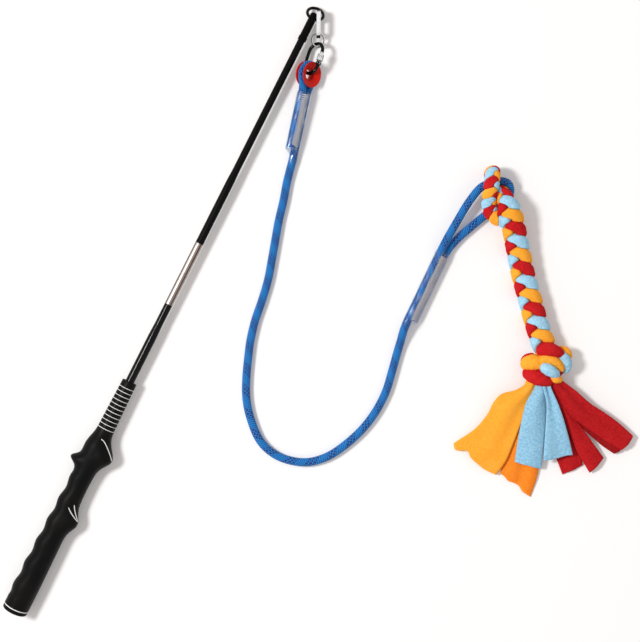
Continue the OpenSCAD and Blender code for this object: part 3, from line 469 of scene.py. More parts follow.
# thimble: turned about the eye's axis, flanged for the rope, with a funnel in front and a flared edge behind
thimble = {  # (along the axis, radius) from the bore's back edge, through the funnel, round both flanges
    "columns": 96,
    "turned": [(-5.9, 7.2), (-5.5, 6.5), (-4.8, 5.9), (-3.5, 5.5), (-1.5, 5.4), (0, 5.4), (1.0, 5.5),
               (2.0, 5.9), (2.9, 6.7), (3.6, 7.8), (4.2, 9.1), (4.7, 10.4), (5.25, 11.7), (5.6, 12.5),
               (5.85, 13.0), (5.75, 13.3), (5.5, 13.4), (5.1, 13.35), (4.85, 13.1), (4.5, 11.6),
               (3.9, 10.0), (3.0, 7.9), (1.6, 6.5), (0, 6.1), (-1.6, 6.5), (-3.0, 7.9), (-4.2, 10.0),
               (-4.6, 11.6), (-4.7, 13.1), (-5.0, 13.4), (-5.6, 13.4), (-5.9, 13.0)],
}
profile = np.array(thimble["turned"])[None]
turn = angles(thimble["columns"])[:, None, None]
outward = np.cos(turn) * eyeAcross + np.sin(turn) * eyeUpward
# point = middle + radius x outward + place x axis
bush = eyeMiddle + profile[..., 1:] * outward + profile[..., :1] * eyeAxis
onRope = [surface("thimbleBush", bush, "redPlastic", "rope", ("thimble",), loop=True)]
print("thimble turned")

# pole: turned tubes and ferrules, smooth all round
pole = {  # profile is (place along the pole, radius); a tube's closes on itself, a ferrule's has a web inside
    "columns": 96, "edge": 0.15, "lead": 2.2, "cut": 0.3,
    "tubes": {
        "lowerTube": {
            "look": "glossBlack", "node": "lower_shaft", "body": "lower_pole", "slot": "gloss_black",
            "closed": True,
            "profile": [(4.6, 4.7), (324, 4.7), (338, 4.25), (362, 4.25), (362, 3.2), (374, 3.2),
                        (374, 2.3), (4.6, 2.3)]},
        "upperTube": {
            "look": "satinBlack", "node": "upper_shaft", "body": "upper_pole", "slot": "satin_black",
            "closed": True,
            "profile": [(422, 3.2), (434, 3.2), (434, 4.25), (506, 4.25), (520, 3.8), (674, 3.8),
                        (674, 3.0), (686.2, 3.0), (686.2, 2.3), (422, 2.3)]},
        "lowerFerruleSleeve": {
            "look": "ferruleMetal", "node": "lower_ferrule", "body": "lower_pole", "slot": "bright_ferrule",
            "closed": False,
            "profile": [(374, 0.2), (374, 3.2), (362, 3.2), (362, 4.25), (398, 4.25), (398, 2.76),
                        (379.8, 2.76), (379.8, 0.2)]},
        "upperFerruleSleeve": {
            "look": "ferruleMetal", "node": "upper_ferrule", "body": "upper_pole", "slot": "bright_ferrule",
            "closed": False,
            "profile": [(412, 0.2), (412, 2.7), (398.2, 2.7), (398.2, 4.25), (434, 4.25), (434, 3.2),
                        (422, 3.2), (422, 0.2)]},
    },
}
for name, tube in pole["tubes"].items():
    corner = np.array(tube["profile"])
    before = unit(np.roll(corner, 1, 0) - corner) * pole["edge"]
    after = unit(np.roll(corner, -1, 0) - corner) * pole["edge"]
    # each corner c becomes c + lead b, c + b, c + cut (b + a), c + a, c + lead a, with b and a short steps
    # towards its neighbours
    eased = [corner + pole["lead"] * before, corner + before, corner + pole["cut"] * (before + after),
             corner + after, corner + pole["lead"] * after]
    eased = np.stack(eased, 1)
    if tube["closed"]:
        line = eased.reshape(-1, 2)
    else:  # the profile's ends stay as they are, and a fan closes them at the pole's middle line
        line = np.vstack([corner[:1], eased[1:-1].reshape(-1, 2), corner[-1:]])
    grid = turned(line[:, 1:], line[:, :1], angles(pole["columns"])[None, :])
    surface(name, grid, tube["look"], tube["body"], (tube["node"],), loop=tube["closed"])
print("pole turned")

# grip: one turned skin, swollen for the fingers, the spur and the two thumb rests, ending in a ribbed neck
grip = {  # shares: (share of length, share of radius); swells: (share of length, height, half length, side)
    "length": 271.0, "start": 5.6, "radius": 13.4, "neckEnd": 7.8, "columns": 144, "step": 0.55,
    "shares": [(0, 1), (0.1, 1.01), (0.25, 0.96), (0.37, 0.91), (0.47, 0.86), (0.56, 0.82), (0.62, 0.87),
               (0.68, 0.97), (0.72, 0.99), (0.745, 0.87), (0.765, 0.75), (0.787, 0.68)],
    "tableStep": 0.25, "soften": 2.2, "softenSteps": 40,
    "wave": {"height": 0.9, "pitch": 25.3, "first": 0.103, "from": 0.0515, "to": 0.6, "fade": 0.02,
             "side": 270},
    "swells": [(0.642, 8.5, 5.5, 270), (0.69, 8.5, 11.0, 80), (0.41, 7.0, 11.0, 80)],
    "stripes": {"count": 11, "pitch": 4.8, "skip": 1.6, "width": 1.35, "depth": 0.6, "bevel": 0.3,
                "proud": 0.12, "from": 0.78, "over": 3},
    "edge": 1.2, "edgeRoll": 0.7, "buttFace": 0.7, "topFace": 0.6,
}
tableY = np.arange(0, grip["length"] + grip["tableStep"], grip["tableStep"])
tableShare = np.array(grip["shares"])
tableR = np.interp(tableY, np.append(tableShare[:, 0], 1) * grip["length"],
                   np.append(tableShare[:, 1] * grip["radius"], grip["neckEnd"]))
weights = bell(grip["softenSteps"], grip["tableStep"], grip["soften"])
tableR = np.convolve(np.pad(tableR, grip["softenSteps"], mode="edge"), weights, "valid")


def gripRadius(y, a):
    # r = base(y) + finger wave x max(0, cos(a - side)) + sum of height x exp(-((y - y0) / half)^2)
    # x max(0, cos(a - side))^3
    wave = grip["wave"]
    share = y / grip["length"]
    inside = np.clip((share - wave["from"]) / wave["fade"], 0, 1)
    inside = inside * np.clip((wave["to"] - share) / wave["fade"], 0, 1)
    swing = np.cos(2 * np.pi * (y - wave["first"] * grip["length"]) / wave["pitch"])
    r = np.interp(y, tableY, tableR)
    r = r + wave["height"] * swing * inside * np.maximum(0, np.cos(a - np.radians(wave["side"])))
    for place, height, half, side in grip["swells"]:
        swell = height * np.exp(-((y - place * grip["length"]) / half) ** 2)
        r = r + swell * np.maximum(0, np.cos(a - np.radians(side))) ** 3
    return r


stripes = grip["stripes"]
ringY = grip["length"] - stripes["pitch"] * (np.arange(stripes["count"]) + stripes["skip"])
edges = stripes["width"] / 2 - stripes["bevel"] * np.array([0.0, 0.5, 1.0])
gripY = np.concatenate([np.arange(grip["start"], grip["length"] + 0.01, grip["step"]),
                        (ringY[:, None] + np.concatenate([edges, -edges])).ravel()])
gripY = np.unique(gripY.round(3))[:, None]
gripA = angles(grip["columns"])[None, :]
gripR = gripRadius(gripY, gripA)
neckStart = grip["length"] * stripes["from"]
gripR = gripR + stripes["proud"] * np.clip((gripY - neckStart) / stripes["over"], 0, 1)  # over the rings
for middle in ringY:  # a shallow groove for each white ring
    inGroove = (stripes["width"] / 2 - np.abs(gripY - middle)) / stripes["bevel"]
    gripR = gripR - stripes["depth"] * np.clip(inGroove, 0, 1)
toEnd = np.clip((grip["length"] - gripY) / grip["edge"], 0, 1)
gripR = gripR - grip["edge"] * grip["edgeRoll"] * (1 - np.sqrt(1 - (1 - toEnd) ** 2))  # rolled top edge
gripGrid = turned(gripR, gripY, gripA)
# both end faces run in to the shaft
buttFace = gripGrid[:1] * np.array([grip["buttFace"], 1, grip["buttFace"]])
topFace = gripGrid[-1:] * np.array([grip["topFace"], 1, grip["topFace"]])
surface("gripSkin", np.concatenate([buttFace, gripGrid, topFace]), "gripRubber",
        "lower_pole", ("grip_sleeve",))

marks = {  # white strokes let into the rubber: (share of length, side in degrees) from end to end
    "strokes": {"gripMarkTop": [(0.757, 8), (0.75, 32), (0.731, 56), (0.693, 77)],
                "gripMarkLeft": [(0.464, 16), (0.444, 46), (0.423, 79)],
                "gripMarkRight": [(0.481, 38), (0.453, 60), (0.424, 80)]},
    "halfWidth": 0.52, "halfHeight": 0.42, "proud": 0.06, "sides": 16, "step": 0.4, "taper": 2.2,
    "radius": 14,  # that turns degrees into mm, for even steps along a stroke
}
for name, stroke in marks["strokes"].items():
    flat, reach = smoothPath(np.array(stroke) * [grip["length"], np.radians(marks["radius"])], marks["step"])
    y, a = flat[:, 0], flat[:, 1] / marks["radius"]
    line = turned(gripRadius(y, a) + marks["proud"], y, a)
    taper = roundEnd(reach, marks["taper"], marks["taper"])[:, None, None]
    section = ring(marks["sides"])[None] * np.array([marks["halfWidth"], marks["halfHeight"]]) * taper
    out = turned(1.0, 0 * a, a)
    surface(name, carry(line, out, section), "whiteRubber", "lower_pole",
            ("grip_marks",) if name == "gripMarkTop" else ())
print("grip skinned")


def legFrame(points, origin, heading, pitch, tilt):
    # local point turned by tilt about y, pitch about x and heading about z, then moved to origin
    h, p, t = np.radians([heading, pitch, tilt])
    ry = np.array([[np.cos(t), 0, np.sin(t)], [0, 1, 0], [-np.sin(t), 0, np.cos(t)]])
    rx = np.array([[1, 0, 0], [0, np.cos(p), -np.sin(p)], [0, np.sin(p), np.cos(p)]])
    rz = np.array([[np.cos(h), -np.sin(h), 0], [np.sin(h), np.cos(h), 0], [0, 0, 1]])
    return points @ (rz @ rx @ ry).T + np.array(origin)


# sewn stretches: a clear sleeve shrunk over both legs, and zigzag stitching laid across them
sewn = {
    "legOffset": 4.6, "skin": 5.25, "step": 1.0, "columns": 64, "pinch": 0.05, "pinchPower": 8,
    "mouthIn": 0.25, "snugIn": 0.5,  # how far the skin draws in at its mouth and past the tail
    "stitch": {"pitch": 1.1, "thread": 0.42, "rest": 4.72, "bend": 0.6, "sides": 6, "perTurn": 14,
               "lean": 0.3},
    "ends": {  # near and far are the degrees round the legs that a stitch runs over
        "upper": {"origin": (0, 0, 0), "heading": 14.5, "pitch": 3.2, "tilt": 58, "from": -19.5, "to": -80.5,
                  "main": 1, "past": 6.0, "snug": 9.0, "crotch": 2.5, "stitched": (-21.5, -77),
                  "near": (136, 66), "far": 110},
        "lower": {"origin": (213.5, -186, -5.116), "heading": 1.2, "pitch": 0, "tilt": 50, "from": 82.0,
                  "to": 3.0, "main": -1, "past": 4.0, "snug": 3.0, "crotch": 3.0, "stitched": (78, 4),
                  "near": (116, 70), "far": 84},
    },
}
# clear film: see-through, with a gloss that grows towards its edges and in lengthwise creases
film, place = newLook("clearSleeve", {})
streak = place.node("Mapping", None, {"Vector": place, "Scale": (1.0, 0.16, 1.0)}).noise(420, 3, 0.5)
crease = streak.bump(0.0006, 0.5)
share = place.node("Fresnel", None, {"IOR": 1.5, "Normal": crease}) * 0.5 + 0.2 * streak.ease(0.5, 0.68)
clear = place.node("BsdfTransparent", None, {"Color": (0.97, 0.985, 1.0, 1)})
gloss = place.node("BsdfGlossy", None, {"Color": (1, 1, 1, 1), "Roughness": 0.2, "Normal": crease})
both = place.node("MixShader", None, {0: share, 1: clear, 2: gloss})
film.node_tree.nodes.remove(film.node_tree.nodes["Principled BSDF"])
film.node_tree.links.new(both.out, film.node_tree.nodes["Material Output"].inputs["Surface"])
looks["clearSleeve"] = film
threadLook, place = newLook("paleThread", {"Specular IOR Level": 0.3, "Sheen Weight": 0.2})
twist = place.noise(1800, 3)
looks["paleThread"] = join(threadLook, baseColor=twist.blend(tone(232, 233, 236), tone(254, 254, 254)),
                           roughness=0.6 + 0.2 * twist, normal=twist.bump(0.0002, 0.6))


def stitchAcross(share, face, crown, farCrown):
    # from the near leg's crown round its side (a turns from near to far), then straight over to the far
    # leg
    stitch = sewn["stitch"]
    bend = stitch["bend"]
    a = np.radians(np.interp(share, [0, bend], crown))
    b = np.radians(farCrown)
    near = np.stack([stitch["rest"] * np.cos(a) - sewn["legOffset"], stitch["rest"] * np.sin(a)], -1)
    far = np.array([stitch["rest"] * np.cos(b) + sewn["legOffset"], stitch["rest"] * np.sin(b)])
    over = np.clip((share - bend) / (1 - bend), 0, 1)[:, None]
    return (near * (1 - over) + far * over) * np.array([1, face])


for name, end in sewn["ends"].items():
    frameOf = (eyeMiddle + np.array(end["origin"]), end["heading"], end["pitch"], end["tilt"])
    way = np.sign(end["to"] - end["from"])
    stop = end["to"] + way * (end["past"] + end["snug"] + 0.01)
    y = np.arange(end["from"], stop, way * sewn["step"])[:, None]
    beyond = np.clip((y - end["to"]) * way / end["past"], 0, 1)
    beyond = beyond * beyond * (3 - 2 * beyond)
    # stadium: centre + skin (cos a, sin a) + half gap on its own side; the gap closes onto the main leg
    # past the tail
    a = angles(sewn["columns"])[None, :] + np.pi / sewn["columns"]
    mouth = np.clip((y - end["from"]) * way / end["crotch"], 0, 1)
    skin = sewn["skin"] - sewn["mouthIn"] * (1 - mouth) - sewn["snugIn"] * beyond
    half = sewn["legOffset"] * (1 - beyond)
    middle = end["main"] * sewn["legOffset"] * beyond
    valley = np.abs(np.sin(a)) ** sewn["pinchPower"] * (half / sewn["legOffset"])
    x = middle + np.sign(np.cos(a)) * half + skin * np.cos(a)
    z = skin * np.sin(a) * (1 - sewn["pinch"] * valley)  # drawn in over the valley between the legs
    grid = legFrame(np.stack(np.broadcast_arrays(x, y, z), -1), *frameOf)
    if way > 0:
        grid = grid[:, ::-1]
    onRope.append(surface(name + "Sleeve", grid, "clearSleeve", "rope", (name + "_sleeve",)))
    stitch = sewn["stitch"]
    first, last = end["stitched"]
    turns = abs(last - first) / stitch["pitch"]
    s = np.linspace(0, turns, int(turns * stitch["perTurn"]))
    swing = np.abs(2 * ((s / 2) % 1) - 1)  # 1 to 0 and back
    for face in (1, -1):
        across = stitchAcross(swing, face, end["near"], end["far"])
        line = np.stack([across[:, 0], first + way * s * stitch["pitch"], across[:, 1]], 1)
        section = np.broadcast_to(ring(stitch["sides"]) * stitch["thread"], (len(s), stitch["sides"], 2))
        thread = legFrame(carry(line, np.array([stitch["lean"], 0, face]), section), *frameOf)
        seam = name + ("Stitch" if face > 0 else "StitchBack")
        stands = (name + "_stitching",) if face > 0 else ()
        onRope.append(surface(seam, thread, "paleThread", "rope", stands))
print("sewn ends dressed")

# fleece toy: three strands plaited along the body, and a thinner plait of the same strips looped through the
# rope's eye
toy = {  # lines by the pixel each passes, with its height over the floor
    "body": {
        "line": [(498.6, 188.8, 11.5), (501.4, 191.6, 17.2), (503.9, 195.5, 21.3), (506.2, 201, 23),
                 (509, 209, 22.6), (511.5, 218, 20.2), (513.9, 228, 17.6), (516.3, 241, 14.8),
                 (519.2, 255.5, 13), (522.4, 271, 12.2), (526.4, 287, 12), (530.8, 302.5, 12),
                 (535, 318, 12), (539.2, 332, 12.4), (544, 345, 13.2), (550, 357, 14)],
        "oval": (12.6, 11.2), "strand": 10, "side": 7.4, "rise": 4.2, "turn": (34, 44.8), "settle": 60,
        "start": 79, "roll": 48, "hurry": 0.22, "seen": 70, "soft": 1.0, "grow": (0.42, 30), "step": 0.8,
        "columns": 64, "ref": (0, 0, 1), "ends": (3.0, 3.0),
        "strands": {"orange": 0, "red": 240, "blue": 120}},
    "loop": {
        "line": [(505, 189, 22), (498.5, 194, 14), (494.5, 191.5, 8), (492, 185, 6.8), (491.5, 178, 7.5),
                 (491.8, 173, 12), (492.3, 171.5, 18), (492.6, 173.5, 23.5), (492.4, 178, 27),
                 (491.6, 184.5, 28), (490.2, 192.5, 26), (489, 200.5, 22.5), (489.5, 208.5, 19),
                 (493.5, 215.5, 17), (501, 219.5, 16), (508, 221, 15)],
        "oval": (6.3, 8.2), "strand": 7, "side": 5.0, "rise": 2.5, "turn": (28.5, 28.5), "settle": 60,
        "start": 150, "roll": 42, "hurry": 0.22, "seen": 250, "soft": 1.6, "grow": (0.8, 8), "step": 0.6,
        "columns": 48, "ref": (0.72, 0.69, 0), "ends": (2.0, 2.0),
        "strands": {"orange": 240, "red": 0, "blue": 120}},
}


def plaitStrand(size, start):
    # middle (w sin f, h sin 2f) across the plait, rolled about its line; f keeps pace with the length s,
    # hurried on the side that shows: f - k sin(f - seen) = start + sum of 360 ds / turn. The section
    # reaches from there to the plait's oval, but no further than the strand's radius or half way to a
    # neighbour: r = -log(sum of exp(-k limit)) / k
    path, reach = smoothPath(spot(np.array(size["line"]) + [0, 0, floorZ]), size["step"])
    pace = 2 * np.pi / np.interp(reach, [0, size["settle"]], size["turn"])
    even = np.radians(size["start"] + start) + np.cumsum(pace) * reach[1]
    table = np.linspace(even[0] - 2, even[-1] + 7, 4000)  # f, with room for the other two strands
    seen, turn = np.radians([size["seen"], size["roll"]])
    grow = np.interp(reach, [0, size["grow"][1]], [size["grow"][0], 1])[:, None]
    oval = np.array(size["oval"]) * grow

    def middle(step):
        f = np.interp(even + np.radians(step), table - size["hurry"] * np.sin(table - seen), table)
        x, y = size["side"] * np.sin(f), size["rise"] * np.sin(2 * f)
        rolled = [x * np.cos(turn) - y * np.sin(turn), x * np.sin(turn) + y * np.cos(turn)]
        return np.stack(rolled, -1) * grow

    way, own = ring(size["columns"]), middle(0)
    a = (1 / oval ** 2) @ (way.T ** 2)
    b = (own / oval ** 2) @ way.T
    c = ((own / oval) ** 2).sum(1, keepdims=True) - 1
    toOval = (np.sqrt(np.maximum(b ** 2 - a * c, 0)) - b) / a
    total = np.exp(-size["soft"] * toOval) + np.exp(-size["soft"] * size["strand"] * grow)
    glance = 0.05  # a way that faces a neighbour by less than this is free of it
    for step in (120, 240):
        to = middle(step) - own
        far = np.linalg.norm(to, axis=1, keepdims=True)
        facing = (to / far) @ way.T
        half = far / (2 * np.maximum(facing, glance))
        total = total + np.where(facing > glance, np.exp(-size["soft"] * half), 0)
    out = np.maximum(-np.log(total) / size["soft"], 0.3)  # no thinner than a fold of the strip
    angle, s = angles(size["columns"])[None, :], reach[:, None]
    lumps = 0.012 * np.sin(3 * angle + 1.1 * s + start) + 0.01 * np.sin(5 * angle - 0.7 * s)
    out = out * (1 + lumps) * roundEnd(reach, *size["ends"])[:, None]
    return carry(path, np.array(size["ref"], float), own[:, None] + out[..., None] * way[None])


for part, size in toy.items():
    for colour, start in size["strands"].items():
        if part == "body":
            name, stands = colour + "Strand", ("toy_strand_" + colour,)
        else:
            name, stands = colour + "LoopStrand", ("toy_loop",) if colour == "orange" else ()
        surface(name, plaitStrand(size, start), colour + "Fleece", "toy", stands)
print("toy plaited")

# knot: fat bights of the three strips, laid by the pixel each passes, with its height over the floor
knot = {
    "bights": {  # points (x, y, height), half widths along the bight, half height, colour
        "knotOrangeBand": ([(523.6, 366.5, 12), (527.5, 363.6, 17.5), (532.5, 362.4, 20.5),
            (538, 363.2, 20.5), (543.5, 365.8, 17)], (5.4, 7.6, 8.3, 7.2, 4.8), 6.8, "orange"),
        "knotOrangeHook": ([(537.5, 362.6, 19), (542.5, 359.8, 22), (548.5, 359.3, 23.5), (554, 361, 23),
            (558.6, 364.6, 20), (561.4, 369.5, 15)], (4.4, 5.2, 5.4, 5.2, 4.8, 3.6), 6.2, "orange"),
        "knotBlueFront": ([(541, 366, 20.5), (545, 367.8, 23.8), (549, 370, 25), (553, 372.4, 23.5),
            (557, 375, 18.5)], (4.6, 6.0, 6.4, 5.8, 4.2), 5.8, "blue"),
        "knotRedFront": ([(524.5, 370, 12), (529.5, 374, 16.5), (536, 377.2, 19.5), (543, 379.4, 19.5),
            (551, 382, 14)], (5.5, 7.2, 8.0, 7.4, 5.0), 7.0, "red"),
        "knotOrangeSmall": ([(550.5, 376.5, 17), (555.5, 378.8, 20), (560.5, 380, 15)], (3.6, 4.6, 3.4),
            4.8, "orange"),
        "knotBlueRight": ([(556, 353, 15), (561, 355.8, 19), (565.4, 360.3, 19), (566.8, 366, 15),
            (564.5, 371.5, 10)], (4.4, 5.6, 5.9, 5.2, 3.8), 6.0, "blue"),
        "knotOrangeRight": ([(557.5, 350, 13.5), (562.5, 349.6, 16), (567, 351.8, 15.5),
            (569.8, 357.5, 11)], (3.2, 4.0, 4.0, 3.2), 4.6, "orange"),
        "knotRedTop": ([(538, 351.5, 17), (543.5, 350.2, 22.5), (550, 350, 25), (556, 351.8, 23),
            (561.5, 354.6, 17)], (4.8, 6.8, 7.4, 6.6, 4.4), 6.4, "red"),
        "knotRedBack": ([(523.8, 364, 9), (525.6, 359.6, 13), (530, 357.2, 14.5), (536, 357.6, 15.5)],
            (4.0, 4.6, 4.6, 4.0), 5.4, "red"),
        "knotRedUnder": ([(564, 368, 9), (552, 371, 6.8), (538, 368, 7), (528, 362, 9)],
            (6.0, 7.2, 7.2, 5.6), 6.4, "red"),
        "knotBlueUnder": ([(536, 383, 9), (546, 379, 7), (558, 376, 8.5)], (5.0, 6.6, 5.4), 6.2, "blue"),
        "knotOrangeUnder": ([(536, 353, 9.5), (547, 356, 7), (560, 361, 8.5)], (5.0, 6.8, 5.4), 6.4,
            "orange"),
        "knotCore": ([(533, 362, 15), (546, 367, 15.5), (559, 371, 14.5)], (9.0, 12.0, 9.0), 8.4, "red"),
    },
    "columns": 44, "step": 0.6, "ends": 0.95,
}
for name, (points, widths, height, colour) in knot["bights"].items():
    laid = spot(np.array(points) + [0, 0, floorZ])
    both, reach = smoothPath(np.column_stack([laid, widths]), knot["step"])
    path, width = both[:, :3], both[:, 3:]
    taper = roundEnd(reach, width[0, 0] * knot["ends"], width[-1, 0] * knot["ends"])[:, None]
    # ellipse (w cos a, h sin a), faintly lumped, rounded off at both ends
    a, s = angles(knot["columns"])[None, :], reach[:, None]
    shape = taper * (1 + 0.02 * np.sin(3 * a + s) + 0.015 * np.sin(5 * a - 0.8 * s))
    section = np.stack([width * np.cos(a) * shape, height * np.sin(a) * shape], -1)
    surface(name, carry(path, np.array([0, 0, 1.0]), section), colour + "Fleece", "toy",
            ("toy_knot",) if name == "knotCore" else ())
print("knot tied")

# tails: cut strips of fleece; each row is the left edge's pixel, the right edge's pixel and the height over
# the floor; tip is how far the cut end stands out, by the place across; fold is height, count and turn
tails = {  # flat is the strip as cut, in metres
    "orangeTailWide": {
        "rows": [(527, 378, 539, 381, 13), (524.5, 385, 537, 388, 13.2), (515, 390.5, 533, 399, 12.8),
                 (502, 394, 526, 414, 12.4), (494, 402, 519, 430, 11.6), (487, 415, 512.5, 446, 10.2),
                 (474.5, 429.5, 506, 461, 8.4), (456, 441.5, 496.5, 475, 6)],
        "tip": [(-1, 2), (-0.86, 8), (-0.66, 7), (-0.5, 0), (-0.4, -1), (-0.25, 3), (0, 4), (0.5, 4),
                (0.8, 2), (1, 0)],
        "fold": (1.5, 1.5, 0.3), "curl": 2.4, "look": "orangeFleece", "slot": "orange_fleece",
        "node": "orange_tail_1", "flat": (0.038, 0.118)},
    "orangeTailUnder": {
        "rows": [(529, 381, 538, 383, 9), (525, 393, 537, 395, 9), (517, 413, 538, 416, 8),
                 (509, 434, 540, 446, 6), (503, 456, 538, 474, 4), (500.5, 474, 530.5, 497, 2.6)],
        "tip": [(-1, 0), (-0.75, -1), (-0.5, 1.5), (-0.2, -1), (0.2, -2.5), (0.45, 1), (1, 0)],
        "fold": (1.6, 2.0, 2.2), "curl": 1.5, "look": "amberFleece", "slot": "orange_fleece",
        "node": "orange_tail_2", "flat": (0.036, 0.118)},
    "blueTailLeft": {
        "rows": [(537, 381, 545.5, 382, 15), (533.5, 391, 547, 391, 16), (526.5, 403, 547, 403, 15.6),
                 (522, 420, 546.2, 422, 14), (518, 441, 544, 446, 11.5), (515, 462, 541.4, 468.6, 9)],
        "tip": [(-1, 0), (-0.5, 0.6), (0, 0.2), (0.5, 0.8), (1, 0)],
        "fold": (1.5, 1.0, 0.0), "curl": 1.8, "look": "skyFleece", "slot": "blue_fleece",
        "node": "blue_tail_1", "flat": (0.03, 0.094)},
    "blueTailRight": {
        "rows": [(541, 381, 549, 381.5, 18), (544, 391, 552, 391, 18.6), (546.5, 404, 557.5, 403, 18.4),
                 (546, 422, 563.5, 419, 16.8), (544.5, 442, 569, 438, 14.6),
                 (543.5, 460.7, 573, 455, 12.6)],
        "tip": [(-1, 0), (-0.5, 0.8), (0, 0.3), (0.6, -0.8), (1, 0)],
        "fold": (1.5, 1.0, 3.1), "curl": 1.8, "look": "skyFleece", "slot": "blue_fleece",
        "node": "blue_tail_2", "flat": (0.0275, 0.084)},
    "redTailLong": {
        "rows": [(546, 381, 557, 376, 16), (550.5, 386.5, 565, 382.5, 16), (558, 398, 577, 391.5, 14.6),
                 (569, 414, 590, 403, 12.6), (587.5, 428.5, 606, 413.5, 10.8),
                 (604.5, 440, 620, 424, 9.4), (622, 450.5, 634, 436.5, 8.4)],
        "tip": [(-1, 0), (-0.5, 0.5), (0, 0.8), (0.6, 0.3), (1, -1)],
        "fold": (1.2, 1.5, 1.0), "curl": 1.6, "look": "wineFleece", "slot": "red_fleece",
        "node": "red_tail_1", "flat": (0.026, 0.122)},
    # painted shade: this under layer takes the darker copy of the wine fleece
    "redTailUnder": {
        "rows": [(552, 389, 560, 386, 11), (562.5, 407, 576, 400, 9.4), (575, 421.5, 590, 410, 8),
                 (588.5, 434, 603, 421, 6.6), (602, 445.5, 615, 432, 5.4),
                 (614.5, 454, 628, 443.5, 4.6)],
        "tip": [(-1, 0), (-0.4, 1.2), (0.1, 0), (1, 0)],
        "fold": (0.8, 1.5, 1.0), "curl": 1.0, "look": "darkWineFleece", "slot": "red_fleece",
        "node": None, "flat": (0.02, 0.1)},
    "redTailMiddle": {
        "rows": [(547, 384, 557, 384, 11.6), (552, 396, 563, 397, 11.8), (560.5, 412, 574, 417, 11),
                 (568.5, 431, 586.5, 433.5, 9.4), (577, 451, 596, 447, 7.6), (590, 473, 604, 458, 6)],
        "tip": [(-1, 0), (-0.4, 0.6), (0.3, 0.4), (1, 0)],
        "fold": (1.4, 1.0, 0.6), "curl": 1.5, "look": "wineFleece", "slot": "red_fleece",
        "node": "red_tail_3", "flat": (0.0225, 0.102)},
    "redTailShort": {
        "rows": [(545, 386, 554, 388, 8.4), (548, 402, 562, 404, 8.4), (550, 422, 570, 422, 7),
                 (552, 444, 578, 444, 4.6), (562.5, 474.5, 583, 465, 2.2)],
        "tip": [(-1, 0), (0, 0.5), (1, 0)],
        "fold": (1.0, 1.5, 0.4), "curl": 1.0, "look": "wineFleece", "slot": "red_fleece",
        "node": "red_tail_2", "flat": (0.026, 0.096)},
}
cloth = {
    "thick": 2.4, "step": 1.0, "columns": 40, "overFloor": 0.15,
    "tipShare": 0.2, "tipRows": 12, "tipSoft": 5,  # share of length, rows to its heading, columns smoothed
    "foldEase": 0.55, "curlEase": 0.4, "ripple": 0.5,
    "roundAcross": 20, "roundAlong": 90, "thinnest": 0.06,  # powers of the rounding, and what it leaves
}
for name, tail in tails.items():
    rows = np.array(tail["rows"], float)
    rows[:, 4] += floorZ
    dense, reach = smoothPath(rows, cloth["step"])
    u = (reach / reach[-1])[:, None]
    v = np.linspace(-1, 1, cloth["columns"])[None, :]
    left, right = spot(dense[:, [0, 1, 4]])[:, None], spot(dense[:, [2, 3, 4]])[:, None]
    flat = left * (1 - v[..., None]) / 2 + right * (1 + v[..., None]) / 2
    # the cut end's line, smoothed, and pushed out over the last share of the strip
    tipEdge = np.array(tail["tip"])
    push = np.pad(np.interp(v[0], tipEdge[:, 0], tipEdge[:, 1]), cloth["tipSoft"] // 2, mode="edge")
    push = np.convolve(push, np.ones(cloth["tipSoft"]) / cloth["tipSoft"], "valid")[None, :]
    push = push * np.clip((u - 1 + cloth["tipShare"]) / cloth["tipShare"], 0, 1) ** 2
    middle = flat.mean(1, keepdims=True)
    along = unit(middle[-1] - middle[-cloth["tipRows"]])
    flat = flat + push[..., None] * along * np.array([1, 1, 0])
    # height = fold cos(pi n v + turn) at the gathered root, easing out, plus a soft wave and a drooped edge
    height, count, turn = tail["fold"]
    lift = height * np.cos(np.pi * count * v + turn) * (1 - cloth["foldEase"] * u)
    lift = lift + cloth["ripple"] * np.sin(7 * u + 2.2 * v + turn)
    lift = lift - tail["curl"] * np.abs(v) ** 4 * np.clip(1 - cloth["curlEase"] * u, 0, 1)
    flat = flat + lift[..., None] * np.array([0, 0, 1.0])
    flat[..., 2] = np.maximum(flat[..., 2], floorZ + cloth["thick"] / 2 + cloth["overFloor"])
    face = unit(np.cross(np.gradient(flat, axis=1), np.gradient(flat, axis=0)))
    face = face * np.sign(face[..., 2:3])
    # half thickness, rounded off at the edges and the cut end: sqrt((1 - |v|^n) (1 - u^m))
    rounded = np.clip(1 - np.abs(v) ** cloth["roundAcross"], cloth["thinnest"], 1)
    rounded = rounded * np.clip(1 - u ** cloth["roundAlong"], cloth["thinnest"], 1)
    half = cloth["thick"] / 2 * np.sqrt(rounded)
    top, under = flat + half[..., None] * face, flat - half[..., None] * face
    piece = surface(name, np.concatenate([top[:, ::-1], under], 1), tail["look"], "toy",
                    (tail["node"],) if tail["node"] else (), zipped=True)
print("tails cut")

# floor, light and background
stage = {  # the floor's corners, the drop that keeps it clear of the object, and its glow, in metres
    "corners": [(-3, -3), (3.3, -3), (3.3, 3.8), (-3, 3.8)], "drop": 0.0002, "matte": (0.88, 0.88, 0.878, 1),
    "glow": (1, 0.98, 0.975, 1), "glowLeast": 0.1, "glowFrom": 0.6, "glowFull": 1.5,
    "middle": (0.15, 0.418, 0), "sky": (1.0, 0.95, 0.93, 1), "skyStrength": 0.54,
}


def seenStraight(tree):
    # 1 for camera, glossy and transmission rays, which see the background, and 0 for the rest
    rays = tree.nodes.new("ShaderNodeLightPath").outputs
    seen = Wire(tree, rays["Is Camera Ray"]) + Wire(tree, rays["Is Glossy Ray"])
    return (seen + Wire(tree, rays["Is Transmission Ray"])) > 0.5


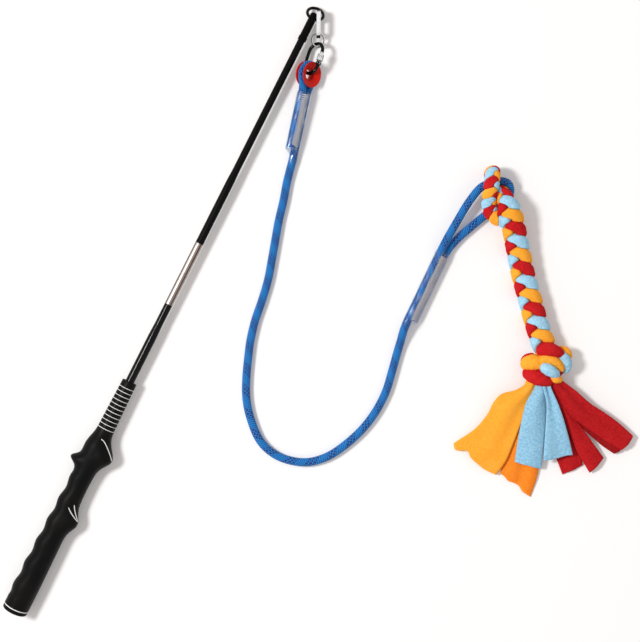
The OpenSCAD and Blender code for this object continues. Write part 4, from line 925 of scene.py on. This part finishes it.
ground = bpy.data.meshes.new("floor")
floorLevel = floorZ * mm - stage["drop"]
corners = np.insert(np.array(stage["corners"]), 2, floorLevel, axis=1)
ground.from_pydata(corners.tolist(), [], [(0, 1, 2, 3)])
floor = addObject("floor", ground)
paper = bpy.data.materials.new("paperFloor")
paper.use_nodes = True
tree = paper.node_tree
tree.nodes.remove(tree.nodes["Principled BSDF"])
seen = seenStraight(tree)
matte = seen.node("BsdfDiffuse", None, {"Color": stage["matte"]})
glow = seen.node("Emission", None, {"Color": stage["glow"], "Strength": 1.0})
bright = seen.node("AddShader", None, {0: matte, 1: glow})
place = seen.node("TexCoord", None, None, "Object")
far = place.node("VectorMath", {"operation": "DISTANCE"}, {0: place, 1: stage["middle"]}, 1)
far = far.ease(stage["glowFrom"], stage["glowFull"])
share = seen * (stage["glowLeast"] + (1 - stage["glowLeast"]) * far)  # grows away from the object
both = seen.node("MixShader", None, {0: share, 1: matte, 2: bright})
tree.links.new(both.out, tree.nodes["Material Output"].inputs["Surface"])
ground.materials.append(paper)

world = bpy.data.worlds.new("studio")
bpy.context.scene.world = world
world.use_nodes = True
sky = world.node_tree
seen = seenStraight(sky)
white = seen.node("Background", None, {"Color": (1, 1, 1, 1), "Strength": 1.0})
fill = seen.node("Background", None, {"Color": stage["sky"], "Strength": stage["skyStrength"]})
lit = seen.node("MixShader", None, {0: seen, 1: fill, 2: white})
sky.links.new(lit.out, sky.nodes["World Output"].inputs["Surface"])

lamp = {  # over a pixel of the floor, then aside in the picture and up; radius in metres, power in watts
    "over": (60, 520), "from": (-0.82, 0.57), "away": 680, "height": 1220, "radius": 0.15, "power": 28.2,
    "colour": (1.0, 0.995, 0.985),
}
lampData = bpy.data.lights.new("key", "POINT")
lampData.shadow_soft_size = lamp["radius"]
lampData.energy = lamp["power"]
lampData.color = lamp["colour"]
lampData.use_nodes = True
lampTree = lampData.node_tree
even = lampTree.nodes.new("ShaderNodeLightFalloff")  # as strong at the toy as at the grip
even.inputs["Strength"].default_value = 1.0
lampTree.links.new(even.outputs["Constant"], lampTree.nodes["Emission"].inputs["Strength"])
key = addObject("key", lampData)
under = spot(np.array([*lamp["over"], floorZ]))
aside = (lamp["from"][0] * shotRight + lamp["from"][1] * shotUp) * lamp["away"]
key.location = ((under[0] + aside[0]) * mm, (under[1] + aside[1]) * mm, (floorZ + lamp["height"]) * mm)
bpy.context.scene.view_settings.view_transform = "Standard"
print("stage lit")
